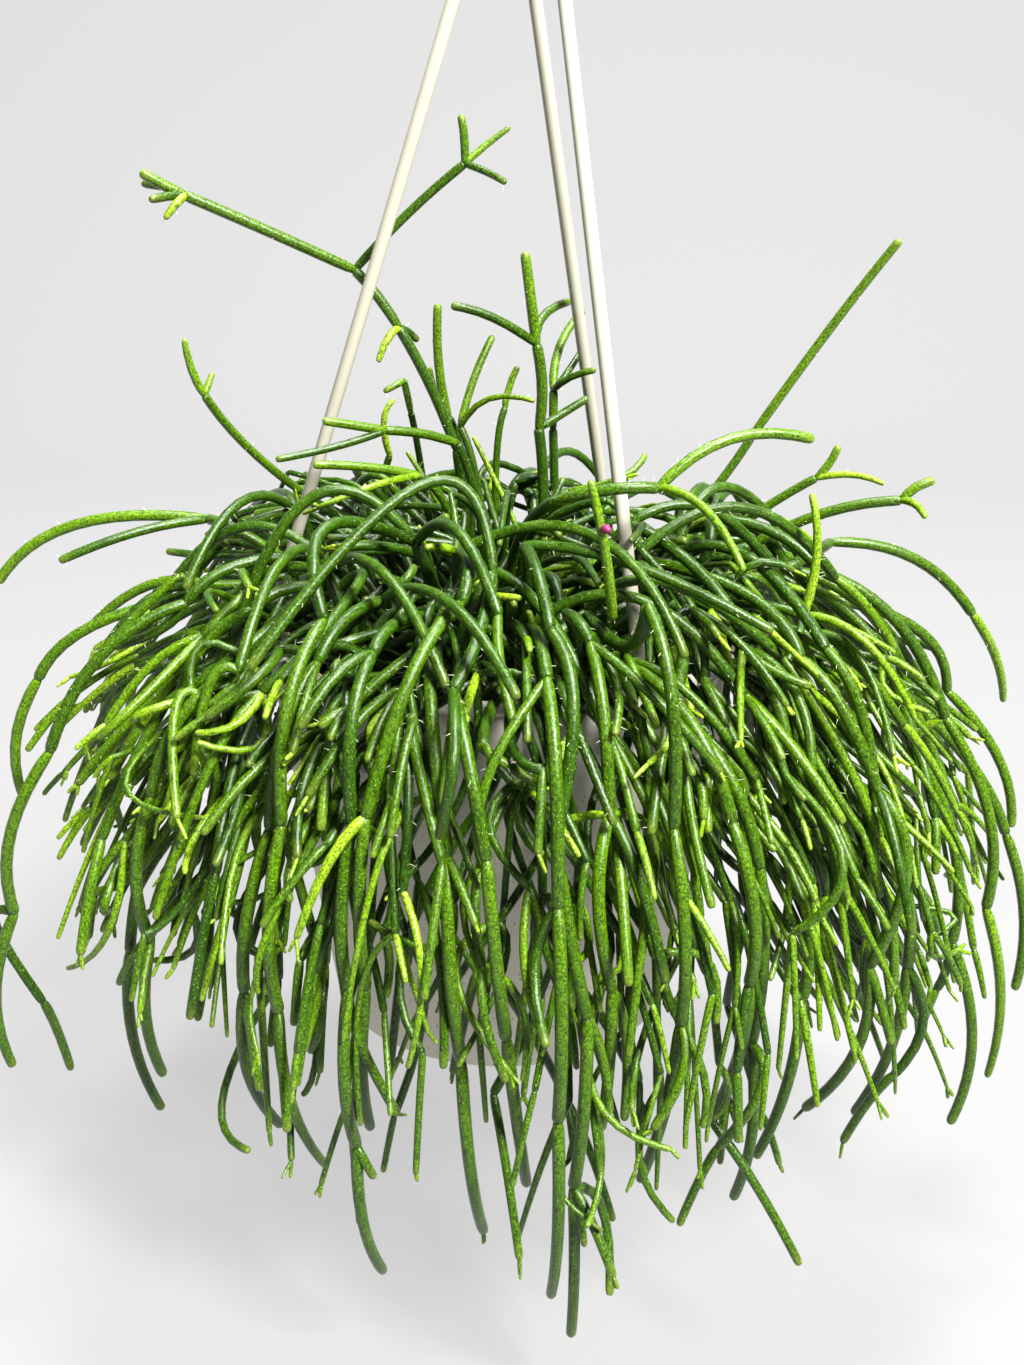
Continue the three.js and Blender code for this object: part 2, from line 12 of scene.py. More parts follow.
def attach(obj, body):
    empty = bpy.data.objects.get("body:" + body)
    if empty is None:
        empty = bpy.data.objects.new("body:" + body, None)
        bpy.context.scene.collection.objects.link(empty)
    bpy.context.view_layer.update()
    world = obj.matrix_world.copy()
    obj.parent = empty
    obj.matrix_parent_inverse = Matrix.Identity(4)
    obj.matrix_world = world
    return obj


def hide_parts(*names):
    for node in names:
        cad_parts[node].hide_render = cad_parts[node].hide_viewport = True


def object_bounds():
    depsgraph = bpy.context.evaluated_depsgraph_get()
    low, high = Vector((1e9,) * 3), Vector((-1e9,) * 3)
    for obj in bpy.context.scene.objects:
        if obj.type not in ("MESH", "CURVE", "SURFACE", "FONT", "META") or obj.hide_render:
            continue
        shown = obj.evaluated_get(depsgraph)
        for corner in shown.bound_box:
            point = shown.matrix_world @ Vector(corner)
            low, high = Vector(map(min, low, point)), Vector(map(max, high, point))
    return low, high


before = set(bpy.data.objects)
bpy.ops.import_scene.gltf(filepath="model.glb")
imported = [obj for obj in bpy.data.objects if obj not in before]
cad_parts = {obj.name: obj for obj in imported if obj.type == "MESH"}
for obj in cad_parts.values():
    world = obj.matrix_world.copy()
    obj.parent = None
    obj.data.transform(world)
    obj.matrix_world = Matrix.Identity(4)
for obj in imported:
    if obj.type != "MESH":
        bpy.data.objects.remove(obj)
cad_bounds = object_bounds()

MM = 0.001

# Pot, mix and hanger, as the solids have them (millimetres)
POT_HEIGHT = 130.0
POT_BASE_RADIUS = 57.0
POT_RIM_RADIUS = 76.0
POT_WALL = 2.0
POT_FLOOR = 3.0
LIP_OUT = 1.6
LIP_HEIGHT = 4.0
BOSS_RADIUS = 5.0
BOSS_BOTTOM = 119.5
BOSS_TOP = 132.5
BOSS_CENTRE_RADIUS = 74.0
SOIL_EDGE_LEVEL = 115.5
SOIL_CENTRE_LEVEL = 117.5
FIT_GAP = 0.3
ARM_RADIUS = 1.95
ARM_ANGLES = {"left": -177.0, "front": -58.0, "back": 58.0}
ARM_FOOT_LEVEL = 124.0
ARM_TOP_LEVEL = 346.0
HUB_CENTRE = (3.4, 0.0)
HUB_TWIST = 40.0
HUB_ARM_RADIUS = 7.8
HUB_RADIUS = 13.0
HUB_BOTTOM = 338.0
HUB_TOP = 351.0
HOOK_WIRE = 2.5
HOOK_BEND_RADIUS = 15.0
HOOK_BEND_LEVEL = 382.0
HOOK_JOIN = -50.0
SOCKET_RADIUS = 2.9
COLLAR_RADIUS = 4.4

# Stems. A room is a gap in mm, and how many times its radius a stem takes up.
GIRTH = 1.14
PLAIN_ROOM = (0.65, GIRTH)
FINE_ROOM = (0.1, 1.0)
ROOT_END = 105.0
ROOT_TOP = 122.0
ROOT_NEAREST = 24.0
ROOT_BAND = 40.0
ROOT_GAP = 2.6
ROOT_TRIES = 200
TRAIL_RADIUS = 1.75
THINNEST = 0.8
FORK_SHARE = 0.84
DRAWN_SEED = 101
TRAIL_SEED = 501
FINE_SEED = 9001
TRIES = 16
LAYOUTS = 24
TRAIL_PIECE = 52.0
SIDE_STEMS = 1.3
CROWN_REACH = 52.0
FALL_REACH = 56.0
RIM_CROSSING = 80.0
CHECK_STEP = 2.0
CHORD_ERROR = 1.1
JOINT_ROOM = 8.0
NEARBY = 10.0
MOST_POINTS = 200000
HANGER_NUMBER = -1

# How far a stem keeps from the pot, beyond its own girth
POT_ROOM = 0.6
RIM_ROOM = 0.4
WALL_ROOM = 0.8
LIP_FROM = 122.0

# The dome that the stems hang in
DOME_HALF_WIDTH = 168.0
DOME_HALF_DEPTH = 138.0
DOME_HEIGHT = 182.0
DOME_POWER = 2.4
DOME_FOOT = 4.0
SKIRT_LEVEL = -28.0
DOME_EDGE = 1.03


# Growth of the plant. A piece of stem runs from one joint to the next and bows through a point
# between them. Every piece keeps clear of the pot, the hanger and the other sprays.

def random_from(seed):
    state = seed & 0xFFFFFFFF

    def times(a, b):
        return (a * b) & 0xFFFFFFFF

    def draw():
        nonlocal state
        state = (state + 0x6D2B79F5) & 0xFFFFFFFF
        t = times(state ^ (state >> 15), state | 1)
        t ^= (t + times(t ^ (t >> 7), t | 61)) & 0xFFFFFFFF
        return (t ^ (t >> 14)) / 4294967296

    return draw


def add(a, b, k=1.0):
    return (a[0] + k * b[0], a[1] + k * b[1], a[2] + k * b[2])


def length(a):
    return math.hypot(*a)


def distance(a, b):
    return math.hypot(a[0] - b[0], a[1] - b[1], a[2] - b[2])


def between(a, b, t):
    return tuple(v + t * (w - v) for v, w in zip(a, b))


def scaled(a, k):
    return (a[0] * k, a[1] * k, a[2] * k)


def unit(a):
    return scaled(a, 1 / length(a))


def polar(out, angle):
    return out * math.cos(angle), out * math.sin(angle)


def toward(start, way, reach):
    """The point a given reach away from the start."""
    return add(start, way, reach / length(way))


def arched(start, end, rise):
    """The point halfway, lifted."""
    return add(between(start, end, 0.5), (0, 0, 1), rise)


def stray(random):
    return (random() - 0.5, random() - 0.5, random() - 0.5)


@dataclass
class Piece:
    start: tuple
    through: tuple
    end: tuple
    radius: float
    age: float = 0.0
    free_end: bool = True
    taper: float = 0.0

    def at(self, t):
        middle = between(self.start, self.end, 0.5)
        bend = add(scaled(self.through, 2), middle, -1)
        a, b, c = (1 - t) * (1 - t), 2 * t * (1 - t), t * t
        return tuple(a * s + b * m + c * e for s, m, e in zip(self.start, bend, self.end))

    def corners(self):
        bow = distance(self.through, between(self.start, self.end, 0.5))
        count = max(1, math.ceil(math.sqrt(bow / CHORD_ERROR)))
        return [self.at(i / count) for i in range(count + 1)]

    def check_points(self):
        corners = self.corners()
        points = [corners[0]]
        for before, after in zip(corners, corners[1:]):
            count = max(1, math.ceil(distance(before, after) / CHECK_STEP))
            points += [between(before, after, k / count) for k in range(1, count + 1)]
        return points

    def heading(self):
        """The way that the stem heads at the end."""
        return unit(add(self.end, self.through, -1))


def straight(start, end, radius, age=0.0):
    return Piece(start, between(start, end, 0.5), end, radius, age)


class Room:
    """The space taken up by stems and straps: points along them, with thickness and owner."""

    def __init__(self):
        self.points = np.zeros((MOST_POINTS, 3))
        self.radii = np.zeros(MOST_POINTS)
        self.owners = np.zeros(MOST_POINTS, int)
        self.count = 0

    def occupy(self, points, radius, owner):
        new = slice(self.count, self.count + len(points))
        self.points[new], self.radii[new], self.owners[new] = points, radius, owner
        self.count = new.stop

    def is_clear(self, piece, owner, gap, girth):
        points = piece.check_points()
        if not all(clear_of_pot(p, piece.radius) for p in points):
            return False
        cloud = np.array(points)
        taken = self.points[:self.count]
        low, high = cloud.min(0) - NEARBY, cloud.max(0) + NEARBY
        near = np.flatnonzero(np.all((taken > low) & (taken < high), axis=1))
        near = near[(self.owners[near] != owner) | (
            np.sum((taken[near] - piece.start) ** 2, axis=1) > JOINT_ROOM ** 2)]
        if not len(near):
            return True
        reach = (self.radii[near] + piece.radius) * girth + gap
        apart = cloud[:, None, :] - taken[near][None, :, :]
        squares = apart[..., 0] ** 2 + apart[..., 1] ** 2 + apart[..., 2] ** 2
        return not np.any(squares < reach ** 2)


def wall_radius(level):
    return POT_BASE_RADIUS + ((POT_RIM_RADIUS - POT_BASE_RADIUS) * level) / POT_HEIGHT


def clear_of_pot(point, radius):
    x, y, z = point
    out = math.hypot(x, y)
    room = radius * GIRTH + POT_ROOM
    if z > POT_HEIGHT + room + RIM_ROOM:
        return True
    wall_room = room + WALL_ROOM
    if out > wall_radius(max(z, 0)) + wall_room + (LIP_OUT if z > LIP_FROM else 0):
        return True
    return z > SOIL_CENTRE_LEVEL + room and out < wall_radius(z) - POT_WALL - wall_room


@dataclass
class Spray:
    """Runs of pieces from one root, and how low and how far out the next piece may reach."""
    room: Room
    name: str
    number: int
    seed: int
    radius: float
    root: tuple = None
    shape: tuple = None
    tip: tuple = None
    fringe: float = SKIRT_LEVEL
    edge: float = DOME_EDGE

    def __post_init__(self):
        self.random = random_from(self.seed)
        self.runs = []

    def start_run(self, *pieces):
        self.runs.append(list(pieces))
        return self.runs[-1]

    def pieces(self):
        """All pieces, the root first."""
        return [piece for run in self.runs for piece in run]

    def crown(self):
        """Where the stems leave the mix."""
        return self.runs[0][0].end


def grow_piece(spray, start, through, end, radius, loose, fine=False):
    """A piece that is clear of all else, nudged further at every try, up to loose mm."""
    random = spray.random
    for i in range(TRIES):
        reach = (loose * i) / TRIES
        nudges = [tuple((random() * 2 - 1) * reach for _ in range(3)) for _ in range(2)]
        piece = Piece(start, add(through, nudges[0]), add(end, nudges[1]), radius)
        if fine and not (in_reach(piece.end, spray) and in_reach(piece.at(0.5), spray)):
            continue
        if spray.room.is_clear(piece, spray.number, *(FINE_ROOM if fine else PLAIN_ROOM)):
            spray.room.occupy(piece.check_points(), radius, spray.number)
            return piece
    return None


# Sprays drawn stem by stem: name, root, radius and the first piece. A piece is the point that it
# bows through, the joint that it ends at, and the pieces that go on from that joint, of which the
# first carries on the same run of stem.

def grow_drawn(spray, run, start, part, radius):
    through, end, *after = part
    piece = grow_piece(spray, start, through, end, radius, loose=9)
    if piece is None:
        return
    run.append(piece)
    for i, next_part in enumerate(after):
        next_run = run if i == 0 else spray.start_run()
        next_radius = radius if i == 0 else max(0.9, radius * FORK_SHARE)
        grow_drawn(spray, next_run, piece.end, next_part, next_radius)


DRAWN = [
    ("spray_tall_left", (-12, 14), 1.6,
     ((-12, 14, 150), (-15, 8, 183),
      ((-23, 7, 203), (-32, 6, 220),
       ((-38, 6, 229), (-45, 6, 237),
        ((-68, -4, 248), (-90, -12, 258),
         ((-96, -14, 261), (-101, -16, 264)), ((-95, -10, 260), (-103, -7, 261)),
         ((-93, -14, 258), (-98, -20, 257)), ((-92, -15, 256), (-95, -17, 252))),
        ((-29, 8, 253), (-12, 6, 267),
         ((-12, 5, 274), (-13, 5, 280)), ((-6, 8, 272), (1, 10, 277)),
         ((-6, 2, 265), (0, -2, 262)))),
       ((-35, 2, 218), (-38, 0, 211)), ((-30, 9, 219), (-27, 12, 216))))),
    ("spray_left_sprig", (-40, 28), 1.4,
     ((-48, 28, 146), (-66, 22, 166),
      ((-82, 13, 183), (-92, 4, 200),
       ((-95, 2, 208), (-96, 0, 217)), ((-91, 6, 203), (-90, 8, 206))))),
    ("spray_left_low", (-4, 4), 1.4,
     ((-7, 0, 160), (-14, -4, 187),
      ((-24, -10, 191), (-35, -16, 193),
       ((-43, -20, 195), (-52, -24, 197)), ((-48, -24, 193), (-63, -32, 186))))),
    ("spray_left_flat", (-12, -10), 1.4,
     ((-14, -12, 160), (-25, -18, 180),
      ((-39, -26, 184), (-54, -33, 186)), ((-39, -29, 182), (-49, -37, 176)))),
    ("spray_cluster_a", (-12, 26), 1.5,
     ((-12, 23, 165), (-18, 20, 191),
      ((-21, 20, 208), (-21, 20, 226)), ((-22, 22, 198), (-24, 25, 206)))),
    ("spray_cluster_b", (-3, 12), 1.3,
     ((-8, 11, 168), (-14, 13, 189),
      ((-10, 18, 203), (-4, 24, 216)), ((-5, 7, 199), (9, 3, 199)))),
    ("spray_cluster_c", (-2, 36), 1.2,
     ((-3, 33, 170), (0, 34, 192), ((1, 35, 198), (4, 36, 205)))),
    ("spray_cluster_d", (-22, 42), 1.2,
     ((-28, 38, 170), (-31, 34, 190),
      ((-32, 33, 196), (-33, 32, 201), ((-35, 30, 200), (-39, 28, 198))))),
    ("spray_cluster_e", (-36, 38), 1.2,
     ((-40, 34, 160), (-38, 32, 176), ((-38, 31, 187), (-37, 30, 198)))),
    ("spray_centre_upright", (12, 28), 1.8,
     ((13, 30, 160), (11, 30, 186),
      ((12, 30, 199), (10, 30, 213),
       ((8, 30, 227), (6, 30, 241)), ((-5, 24, 219), (-20, 18, 224)),
       ((12, 37, 221), (21, 46, 225))),
      ((20, 34, 191), (27, 36, 195)))),
    ("spray_centre_twin", (18, 42), 1.5,
     ((17, 41, 160), (16, 40, 184),
      ((16, 40, 191), (16, 40, 197),
       ((18, 50, 210), (26, 58, 221)), ((18, 46, 204), (25, 51, 207)),
       ((21, 34, 202), (29, 30, 205))))),
    ("spray_right_long", (46, 30), 1.5,
     ((54, 30, 143), (68, 30, 164),
      ((75, 30, 174), (81, 30, 184), ((103, 24, 220), (120, 18, 246))))),
    ("spray_right_arch", (2, -20), 1.6,
     ((3, -36, 160), (14, -60, 182),
      ((28, -68, 187), (41, -66, 187),
       ((60, -60, 199), (83, -54, 198)), ((52, -76, 184), (61, -88, 171))))),
    ("spray_right_short", (6, 50), 1.3,
     ((8, 49, 148), (22, 50, 161), ((37, 52, 168), (52, 54, 177)))),
    ("spray_right_fork", (50, 12), 1.4,
     ((58, 11, 145), (76, 8, 160),
      ((87, 5, 169), (97, 2, 176),
       ((101, 2, 181), (103, 2, 186)), ((107, -2, 178), (116, -6, 176))))),
    ("spray_right_far", (48, -6), 1.6,
     ((55, -7, 144), (76, -9, 157),
      ((97, -15, 169), (118, -20, 174),
       ((122, -20, 178), (127, -20, 180)), ((121, -25, 174), (123, -29, 171))))),
    ("spray_lime_front", (22, -38), 1.5,
     ((28, -52, 146), (29, -80, 156), ((26, -86, 176), (22, -86, 193)))),
    ("spray_lime_right", (50, -26), 1.5,
     ((64, -34, 144), (86, -46, 146),
      ((89, -44, 164), (87, -40, 180)), ((82, -56, 140), (72, -66, 124)))),
]

# Where the main stems of the trailing sprays end
TRAIL_TIPS = [
    (-152, -60, 2), (-153, -22, 77), (-157, -10, 144), (-100, -78, 12), (-105, -66, -9),
    (-64, -88, 2), (-50, -96, -6), (-36, -102, 12), (-33, -108, -33), (-4, -112, -15),
    (8, -108, -2), (15, -120, -30), (21, -118, -46), (28, -112, 20), (40, -106, -2),
    (69, -94, -18), (62, -98, 12), (76, -88, -8), (92, -76, 0), (110, -66, -9),
    (144, -56, -20), (157, -48, -8), (170, -28, 12), (173, 2, 57), (172, 22, 95),
    (140, 60, 30), (104, 92, 12), (60, 112, -14), (20, 122, 24), (-22, 120, -8),
    (-66, 108, 16), (-108, 80, -2), (-142, 44, 32),
]


def dome_radius(x, y):
    far = max(1.0, math.hypot(x, y))
    return 1 / math.hypot(x / far / DOME_HALF_WIDTH, y / far / DOME_HALF_DEPTH)


def dome_share(point):
    """0 at the foot of the plant, 1 on the dome that its stems hang in."""
    x, y, z = point
    across = math.hypot(x, y) / dome_radius(x, y)
    up = max(0.0, z) / DOME_HEIGHT
    return (across ** DOME_POWER + up ** DOME_POWER) ** (1 / DOME_POWER)


def flow(point):
    """The way that stems head at a point: out at the crown, over the shoulder, then down."""
    x, y, z = point
    far = max(1.0, math.hypot(x, y))
    out = max(z, DOME_FOOT) ** (DOME_POWER - 1) / DOME_HEIGHT ** DOME_POWER
    down = far ** (DOME_POWER - 1) / dome_radius(x, y) ** DOME_POWER
    return unit((x / far * out, y / far * out, -down))


def trail_joints(spray, tip):
    """The joints of a trailing stem: at the crown, past the rim, then down to its tip."""
    random = spray.random
    angle = math.atan2(tip[1], tip[0]) + (random() - 0.5) * 0.3
    out = (math.cos(angle), math.sin(angle), 0)
    root_out = math.hypot(spray.root[0], spray.root[1])
    crown = 0.35 + 0.25 * random()
    first = add((0, 0, 146 + 22 * random()), out, root_out + crown * (RIM_CROSSING - root_out))
    second = add((0, 0, 138 + 20 * random()), out, RIM_CROSSING + 8 + 14 * random())
    count = max(1, math.floor(distance(tip, second) / TRAIL_PIECE + 0.5))
    joints = [first, second]
    for i in range(1, count):
        t = i / count
        swell = math.sin(math.pi * t) * (14 + 12 * random())
        joints.append(add(add(between(second, tip, t), out, swell), (0, 0, 1), swell * 0.4))
    joints.append(tip)
    return joints


def grow_fall(spray, run, reach, spread):
    random = spray.random
    last = run[-1]
    way = add(flow(last.end), last.heading(), 0.4)
    end = toward(last.end, add(way, stray(random), spread), reach)
    if end[2] < SKIRT_LEVEL or dome_share(end) > 1:
        return
    through = arched(last.end, end, reach * (0.04 + 0.08 * random()))
    piece = grow_piece(spray, last.end, through, end, last.radius, loose=16)
    if piece:
        run.append(piece)


def grow_side(spray, start, onward, radius, reach):
    random = spray.random
    outward = flow(start)
    side = (-outward[1], outward[0], 0)
    turn = (-1 if random() < 0.5 else 1) * (0.4 + 0.5 * random())
    way = add(add(scaled(onward, 0.5), side, turn), outward, 0.6)
    end = toward(start, way, reach)
    through = arched(start, end, reach * (0.05 + 0.1 * random()))
    piece = grow_piece(spray, start, through, end, radius, loose=14)
    if piece:
        grow_fall(spray, spray.start_run(piece), reach * 0.8, 1)


def grow_crown(spray, start, hand):
    random = spray.random
    angle = math.atan2(start[1], start[0]) + hand * (0.25 + 0.5 * random())
    out = math.hypot(start[0], start[1]) + CROWN_REACH * (0.55 + 0.45 * random())
    end = (*polar(out, angle), start[2] - 8 - 30 * random())
    through = arched(start, end, distance(start, end) * (0.16 + 0.14 * random()))
    piece = grow_piece(spray, start, through, end, spray.radius * 0.9, loose=20)
    if piece:
        run = spray.start_run(piece)
        for least in (0.6, 0.5):
            grow_fall(spray, run, FALL_REACH * (least + 0.4 * random()), 0.6)


def grow_spine(spray, joints):
    spine = spray.runs[0]
    for i, end in enumerate(joints):
        start = spine[-1].end
        reach = distance(start, end)
        away = (start[0] + end[0], start[1] + end[1], 0)
        bulge = reach * (0.05 + 0.08 * spray.random())
        through = add(between(start, end, 0.5), away, bulge / max(1, length(away)))
        through = add(through, (0, 0, 1), reach * 0.12 if i < 3 else 0)
        loose = 22 if i == 0 else 12
        piece = grow_piece(spray, start, through, end, spray.radius, loose)
        if piece is None:
            return False
        spine.append(piece)
    return True


def grow_trail(spray):
    random = spray.random
    spine = spray.runs[0]
    mark = spray.room.count
    for i in range(LAYOUTS):
        if grow_spine(spray, trail_joints(spray, spray.tip)) or i == LAYOUTS - 1:
            break
        spray.room.count = mark
        del spine[1:]
    if len(spine) > 1:
        for hand in (1, -1):
            grow_crown(spray, spine[1].end, hand)
    for piece in spine[2:-1]:
        for _ in range(math.floor(random() * SIDE_STEMS)):
            reach = 20 + 26 * random()
            grow_side(spray, piece.end, piece.heading(), spray.radius * 0.86, reach)


def find_root(spray, roots):
    random = spray.random
    for i in range(ROOT_TRIES):
        angle = math.atan2(spray.tip[1], spray.tip[0]) + (random() - 0.5) * (0.6 + i * 0.01)
        spot = polar(ROOT_NEAREST + ROOT_BAND * random(), angle)
        if all(math.hypot(x - spot[0], y - spot[1]) > (r + spray.radius) * GIRTH + ROOT_GAP
               for x, y, r in roots):
            return spot
    return None


def plant_root(spray, spot, roots):
    piece = straight((*spot, ROOT_END), (*spot, ROOT_TOP), spray.radius)
    roots.append((*spot, spray.radius))
    spray.room.occupy(piece.check_points(), spray.radius, spray.number)
    spray.start_run(piece)
    spray.root = spot


def arm_line(angle):
    """The foot and the top of a strap's middle line."""
    x, y = polar(HUB_ARM_RADIUS, math.radians(angle + HUB_TWIST))
    top = (HUB_CENTRE[0] + x, HUB_CENTRE[1] + y, ARM_TOP_LEVEL)
    rim = (*polar(BOSS_CENTRE_RADIUS, math.radians(angle)), POT_HEIGHT)
    share = (ARM_FOOT_LEVEL - POT_HEIGHT) / (ARM_TOP_LEVEL - POT_HEIGHT)
    return between(rim, top, share), top


ARMS = [(name, *arm_line(angle)) for name, angle in ARM_ANGLES.items()]


def boss_line(foot):
    """The bottom and the top of the boss that holds a strap's foot."""
    share = BOSS_CENTRE_RADIUS / math.hypot(foot[0], foot[1])
    spot = (foot[0] * share, foot[1] * share)
    return (*spot, BOSS_BOTTOM), (*spot, BOSS_TOP)


def occupy_hanger(room):
    for _, foot, top in ARMS:
        for rod in (straight(foot, top, ARM_RADIUS), straight(*boss_line(foot), BOSS_RADIUS)):
            room.occupy(rod.check_points(), rod.radius, HANGER_NUMBER)


def grow_plant():
    room = Room()
    occupy_hanger(room)
    sprays = []
    for i, (name, root, radius, shape) in enumerate(DRAWN):
        sprays.append(Spray(room, name, len(sprays), DRAWN_SEED + i, radius, root, shape))
    for i, tip in enumerate(TRAIL_TIPS):
        name = f"spray_trail_{i + 1:02d}"
        sprays.append(Spray(room, name, len(sprays), TRAIL_SEED + i, TRAIL_RADIUS, tip=tip))
    roots = []
    for spray in sprays:
        plant_root(spray, spray.root or find_root(spray, roots), roots)
    for spray in sprays:
        if spray.shape:
            grow_drawn(spray, spray.runs[0], spray.crown(), spray.shape, spray.radius)
        else:
            grow_trail(spray)
    return sprays


# Fine growth: more stems from every root and joint, which follow the dome that the plant hangs in.
# They end at a fringe, which differs from stem to stem and rises to the left and to the right.

BOX_SLACK = 1.0
FRINGE_LEVEL = -30.0
FRINGE_DEPTH = 60.0
LEFT_RISE, LEFT_FROM = 0.6, -20.0
RIGHT_RISE, RIGHT_FROM = 0.35, 100.0
EDGE_DEPTH = 0.13
SPARSE_LEVEL = 62.0
SPARSE_SHARE = 0.66
INNER_SHARE = 0.82
INNER_LIFT = 3.0
PAST_RIM = 84.0
CROWN_LEVEL = 140.0
SPLAY = 0.85
HIGH_ROUNDS = 6
CROWN_ROUNDS = 4
CROWN_ROOTS = 48.0
LOW_ROUNDS = 12
ALL_ROOTS_ROUNDS = 7
MIDDLE_ROOTS = 45.0
TOP_LEVEL = 176.0
SKIRT_PASSES = 2
SKIRT_DEPTH, SKIRT_WIDTH = 35, 90
SKIRT_INNER, SKIRT_OUTER = 74, 112
SKIRT_TOP, SKIRT_RIM = 170, 120

# Age at the start of a run and what it gains to its end: 0 is old wood, 1 is a new shoot
SPINE_AGES = (0.0, 0.66)
SIDE_AGES = (0.3, 0.3)


def in_reach(point, spray):
    low, high = cad_bounds
    if not all(a / MM - BOX_SLACK < v < b / MM + BOX_SLACK for a, v, b in zip(low, point, high)):
        return False
    x = point[0]
    rise = LEFT_RISE * max(0.0, LEFT_FROM - x) + RIGHT_RISE * max(0.0, x - RIGHT_FROM)
    return dome_share(point) < spray.edge and point[2] > spray.fringe + rise


def shoot(spray, start, onward, radius, age, left, spread, droop=0.0):
    """A stem from a point, and while some are left to grow, one to three more from its end."""
    random = spray.random
    if start[2] < SPARSE_LEVEL and random() < SPARSE_SHARE:
        return
    spray.fringe = FRINGE_LEVEL + FRINGE_DEPTH * random() ** 1.3
    spray.edge = DOME_EDGE - EDGE_DEPTH * random()
    high = left > 2
    lift = INNER_LIFT * max(0.0, INNER_SHARE - dome_share(start)) if high else 0
    way = add(add(scaled(flow(start), 1.1), onward, 0.45), (0, 0, 1), lift)
    far = math.hypot(start[0], start[1])
    if far > PAST_RIM:
        from_crown = add(start, (0, 0, CROWN_LEVEL), -1)
        sideways = 0.25 + 0.75 * min(1.0, 1.3 * abs(start[0]) / far)
        way = add(way, from_crown, SPLAY * sideways / length(from_crown))
        way = add(way, (0, 0, -1), droop)
    way = add(way, stray(random), spread)
    last = left == 0
    reach = 16 + 26 * random() if last else 26 + 28 * random()
    rise = reach * (0.05 + 0.09 * random() if high else 0.02 + 0.06 * random())
    for shorten in (1.0, 0.75, 0.5, 0.3):
        end = toward(start, way, shorten * reach)
        if in_reach(end, spray):
            break
    else:
        return
    through = arched(start, end, rise * shorten)
    piece = grow_piece(spray, start, through, end, radius, loose=reach * 0.5, fine=True)
    if piece is None:
        return
    piece.age = min(1.0, age + 0.1 * random())
    spray.start_run(piece)
    if last or shorten < 1:
        return
    forks = 1 + (random() < (0.6 if left in (2, 3) else 0.3)) + (random() < 0.08)
    for i in range(forks):
        next_radius = max(THINNEST, radius * (0.94 if i == 0 else FORK_SHARE))
        shoot(spray, piece.end, piece.heading(), next_radius, piece.age + 0.08, left - 1,
              1.0 if forks == 1 else 1.8, droop)


def set_ages(spray):
    for k, run in enumerate(spray.runs):
        start, gain = SPINE_AGES if k == 0 else SIDE_AGES
        for i, piece in enumerate(run):
            share = i / max(1, len(run) - 1)
            piece.age = min(1.0, start + gain * share + 0.1 * spray.random())


def grow_fine(sprays):
    """Stems from the roots, up, inward over the mix and low over the rim, then from the joints."""
    for spray in sprays:
        spray.random = random_from(FINE_SEED + spray.number)
        set_ages(spray)
    for turn in range(HIGH_ROUNDS):
        for spray in sprays:
            random = spray.random
            up = (random() - 0.5, random() - 0.5, 1.8 - 0.2 * turn)
            radius = (0.72 + 0.24 * random()) * TRAIL_RADIUS
            shoot(spray, spray.crown(), up, radius, 0.03, 4, 0.9)
    for _ in range(CROWN_ROUNDS):
        for spray in sprays:
            random = spray.random
            x, y = spray.root
            far = max(1.0, math.hypot(x, y))
            if far > CROWN_ROOTS:
                continue
            inward = (-5 * x / far, -5 * y / far, 2.5 + 1.5 * random())
            radius = (0.66 + 0.22 * random()) * TRAIL_RADIUS
            shoot(spray, spray.crown(), inward, radius, 0.05, 2, 1.0)
    for turn in range(LOW_ROUNDS):
        for spray in sprays:
            x, y = spray.root
            if turn >= ALL_ROOTS_ROUNDS and abs(x) > MIDDLE_ROOTS:
                continue
            random = spray.random
            far = math.hypot(x, y)
            low = (x / far, y / far, 0.6 + 0.4 * random())
            radius = (0.72 + 0.24 * random()) * TRAIL_RADIUS
            droop = 0.3 + 0.7 * random()
            shoot(spray, spray.crown(), low, radius, 0.03, 4, 1.3, droop)
    for spray in sprays:
        grow_from_joints(spray)


def grow_from_joints(spray):
    random = spray.random
    for piece in spray.pieces()[1:]:
        share = dome_share(piece.end)
        if piece.end[2] > TOP_LEVEL or share > 0.98:
            continue
        many = 4.0 if abs(piece.end[1]) > 40 else 3.0
        for _ in range(math.floor(random() * many)):
            left = 2 if share < 0.9 else 1
            shoot(spray, piece.end, piece.heading(), max(THINNEST, piece.radius * 0.8),
                  piece.age + 0.12, left, 2.2, random())


def fill_skirt(sprays):
    """More stems in front and behind: over the rim and down past it."""
    for spray in sprays:
        random = spray.random
        for piece in spray.pieces():
            x, y, z = piece.end
            if (abs(y) < SKIRT_DEPTH or abs(x) > SKIRT_WIDTH or z > SKIRT_TOP
                    or not SKIRT_INNER < math.hypot(x, y) < SKIRT_OUTER):
                continue
            many, left = (3, 3) if z > SKIRT_RIM else (1, 2)
            for _ in range(many):
                shoot(spray, piece.end, piece.heading(), 1.15 + 0.35 * random(),
                      piece.age + 0.1, left, 2.0, 0.4 + 0.7 * random())


# Mesh of the stems: one round tube a piece, drawn in at the joints

TUBE_SIDES = 8
RING_STEP = 6.5
SHORT_PIECE = 7.0
PATTERN_STEP = 83.0

# How far from a joint, in radii, and how thick
JOINT_START = ((-0.35, 0.35), (-0.1, 0.66), (0.5, 0.80), (1.6, 0.94), (3.4, 1.0))
JOINT_END = ((3.0, 1.0), (0.9, 0.99), (0.3, 0.90), (0.0, 0.72), (-0.2, 0.40))


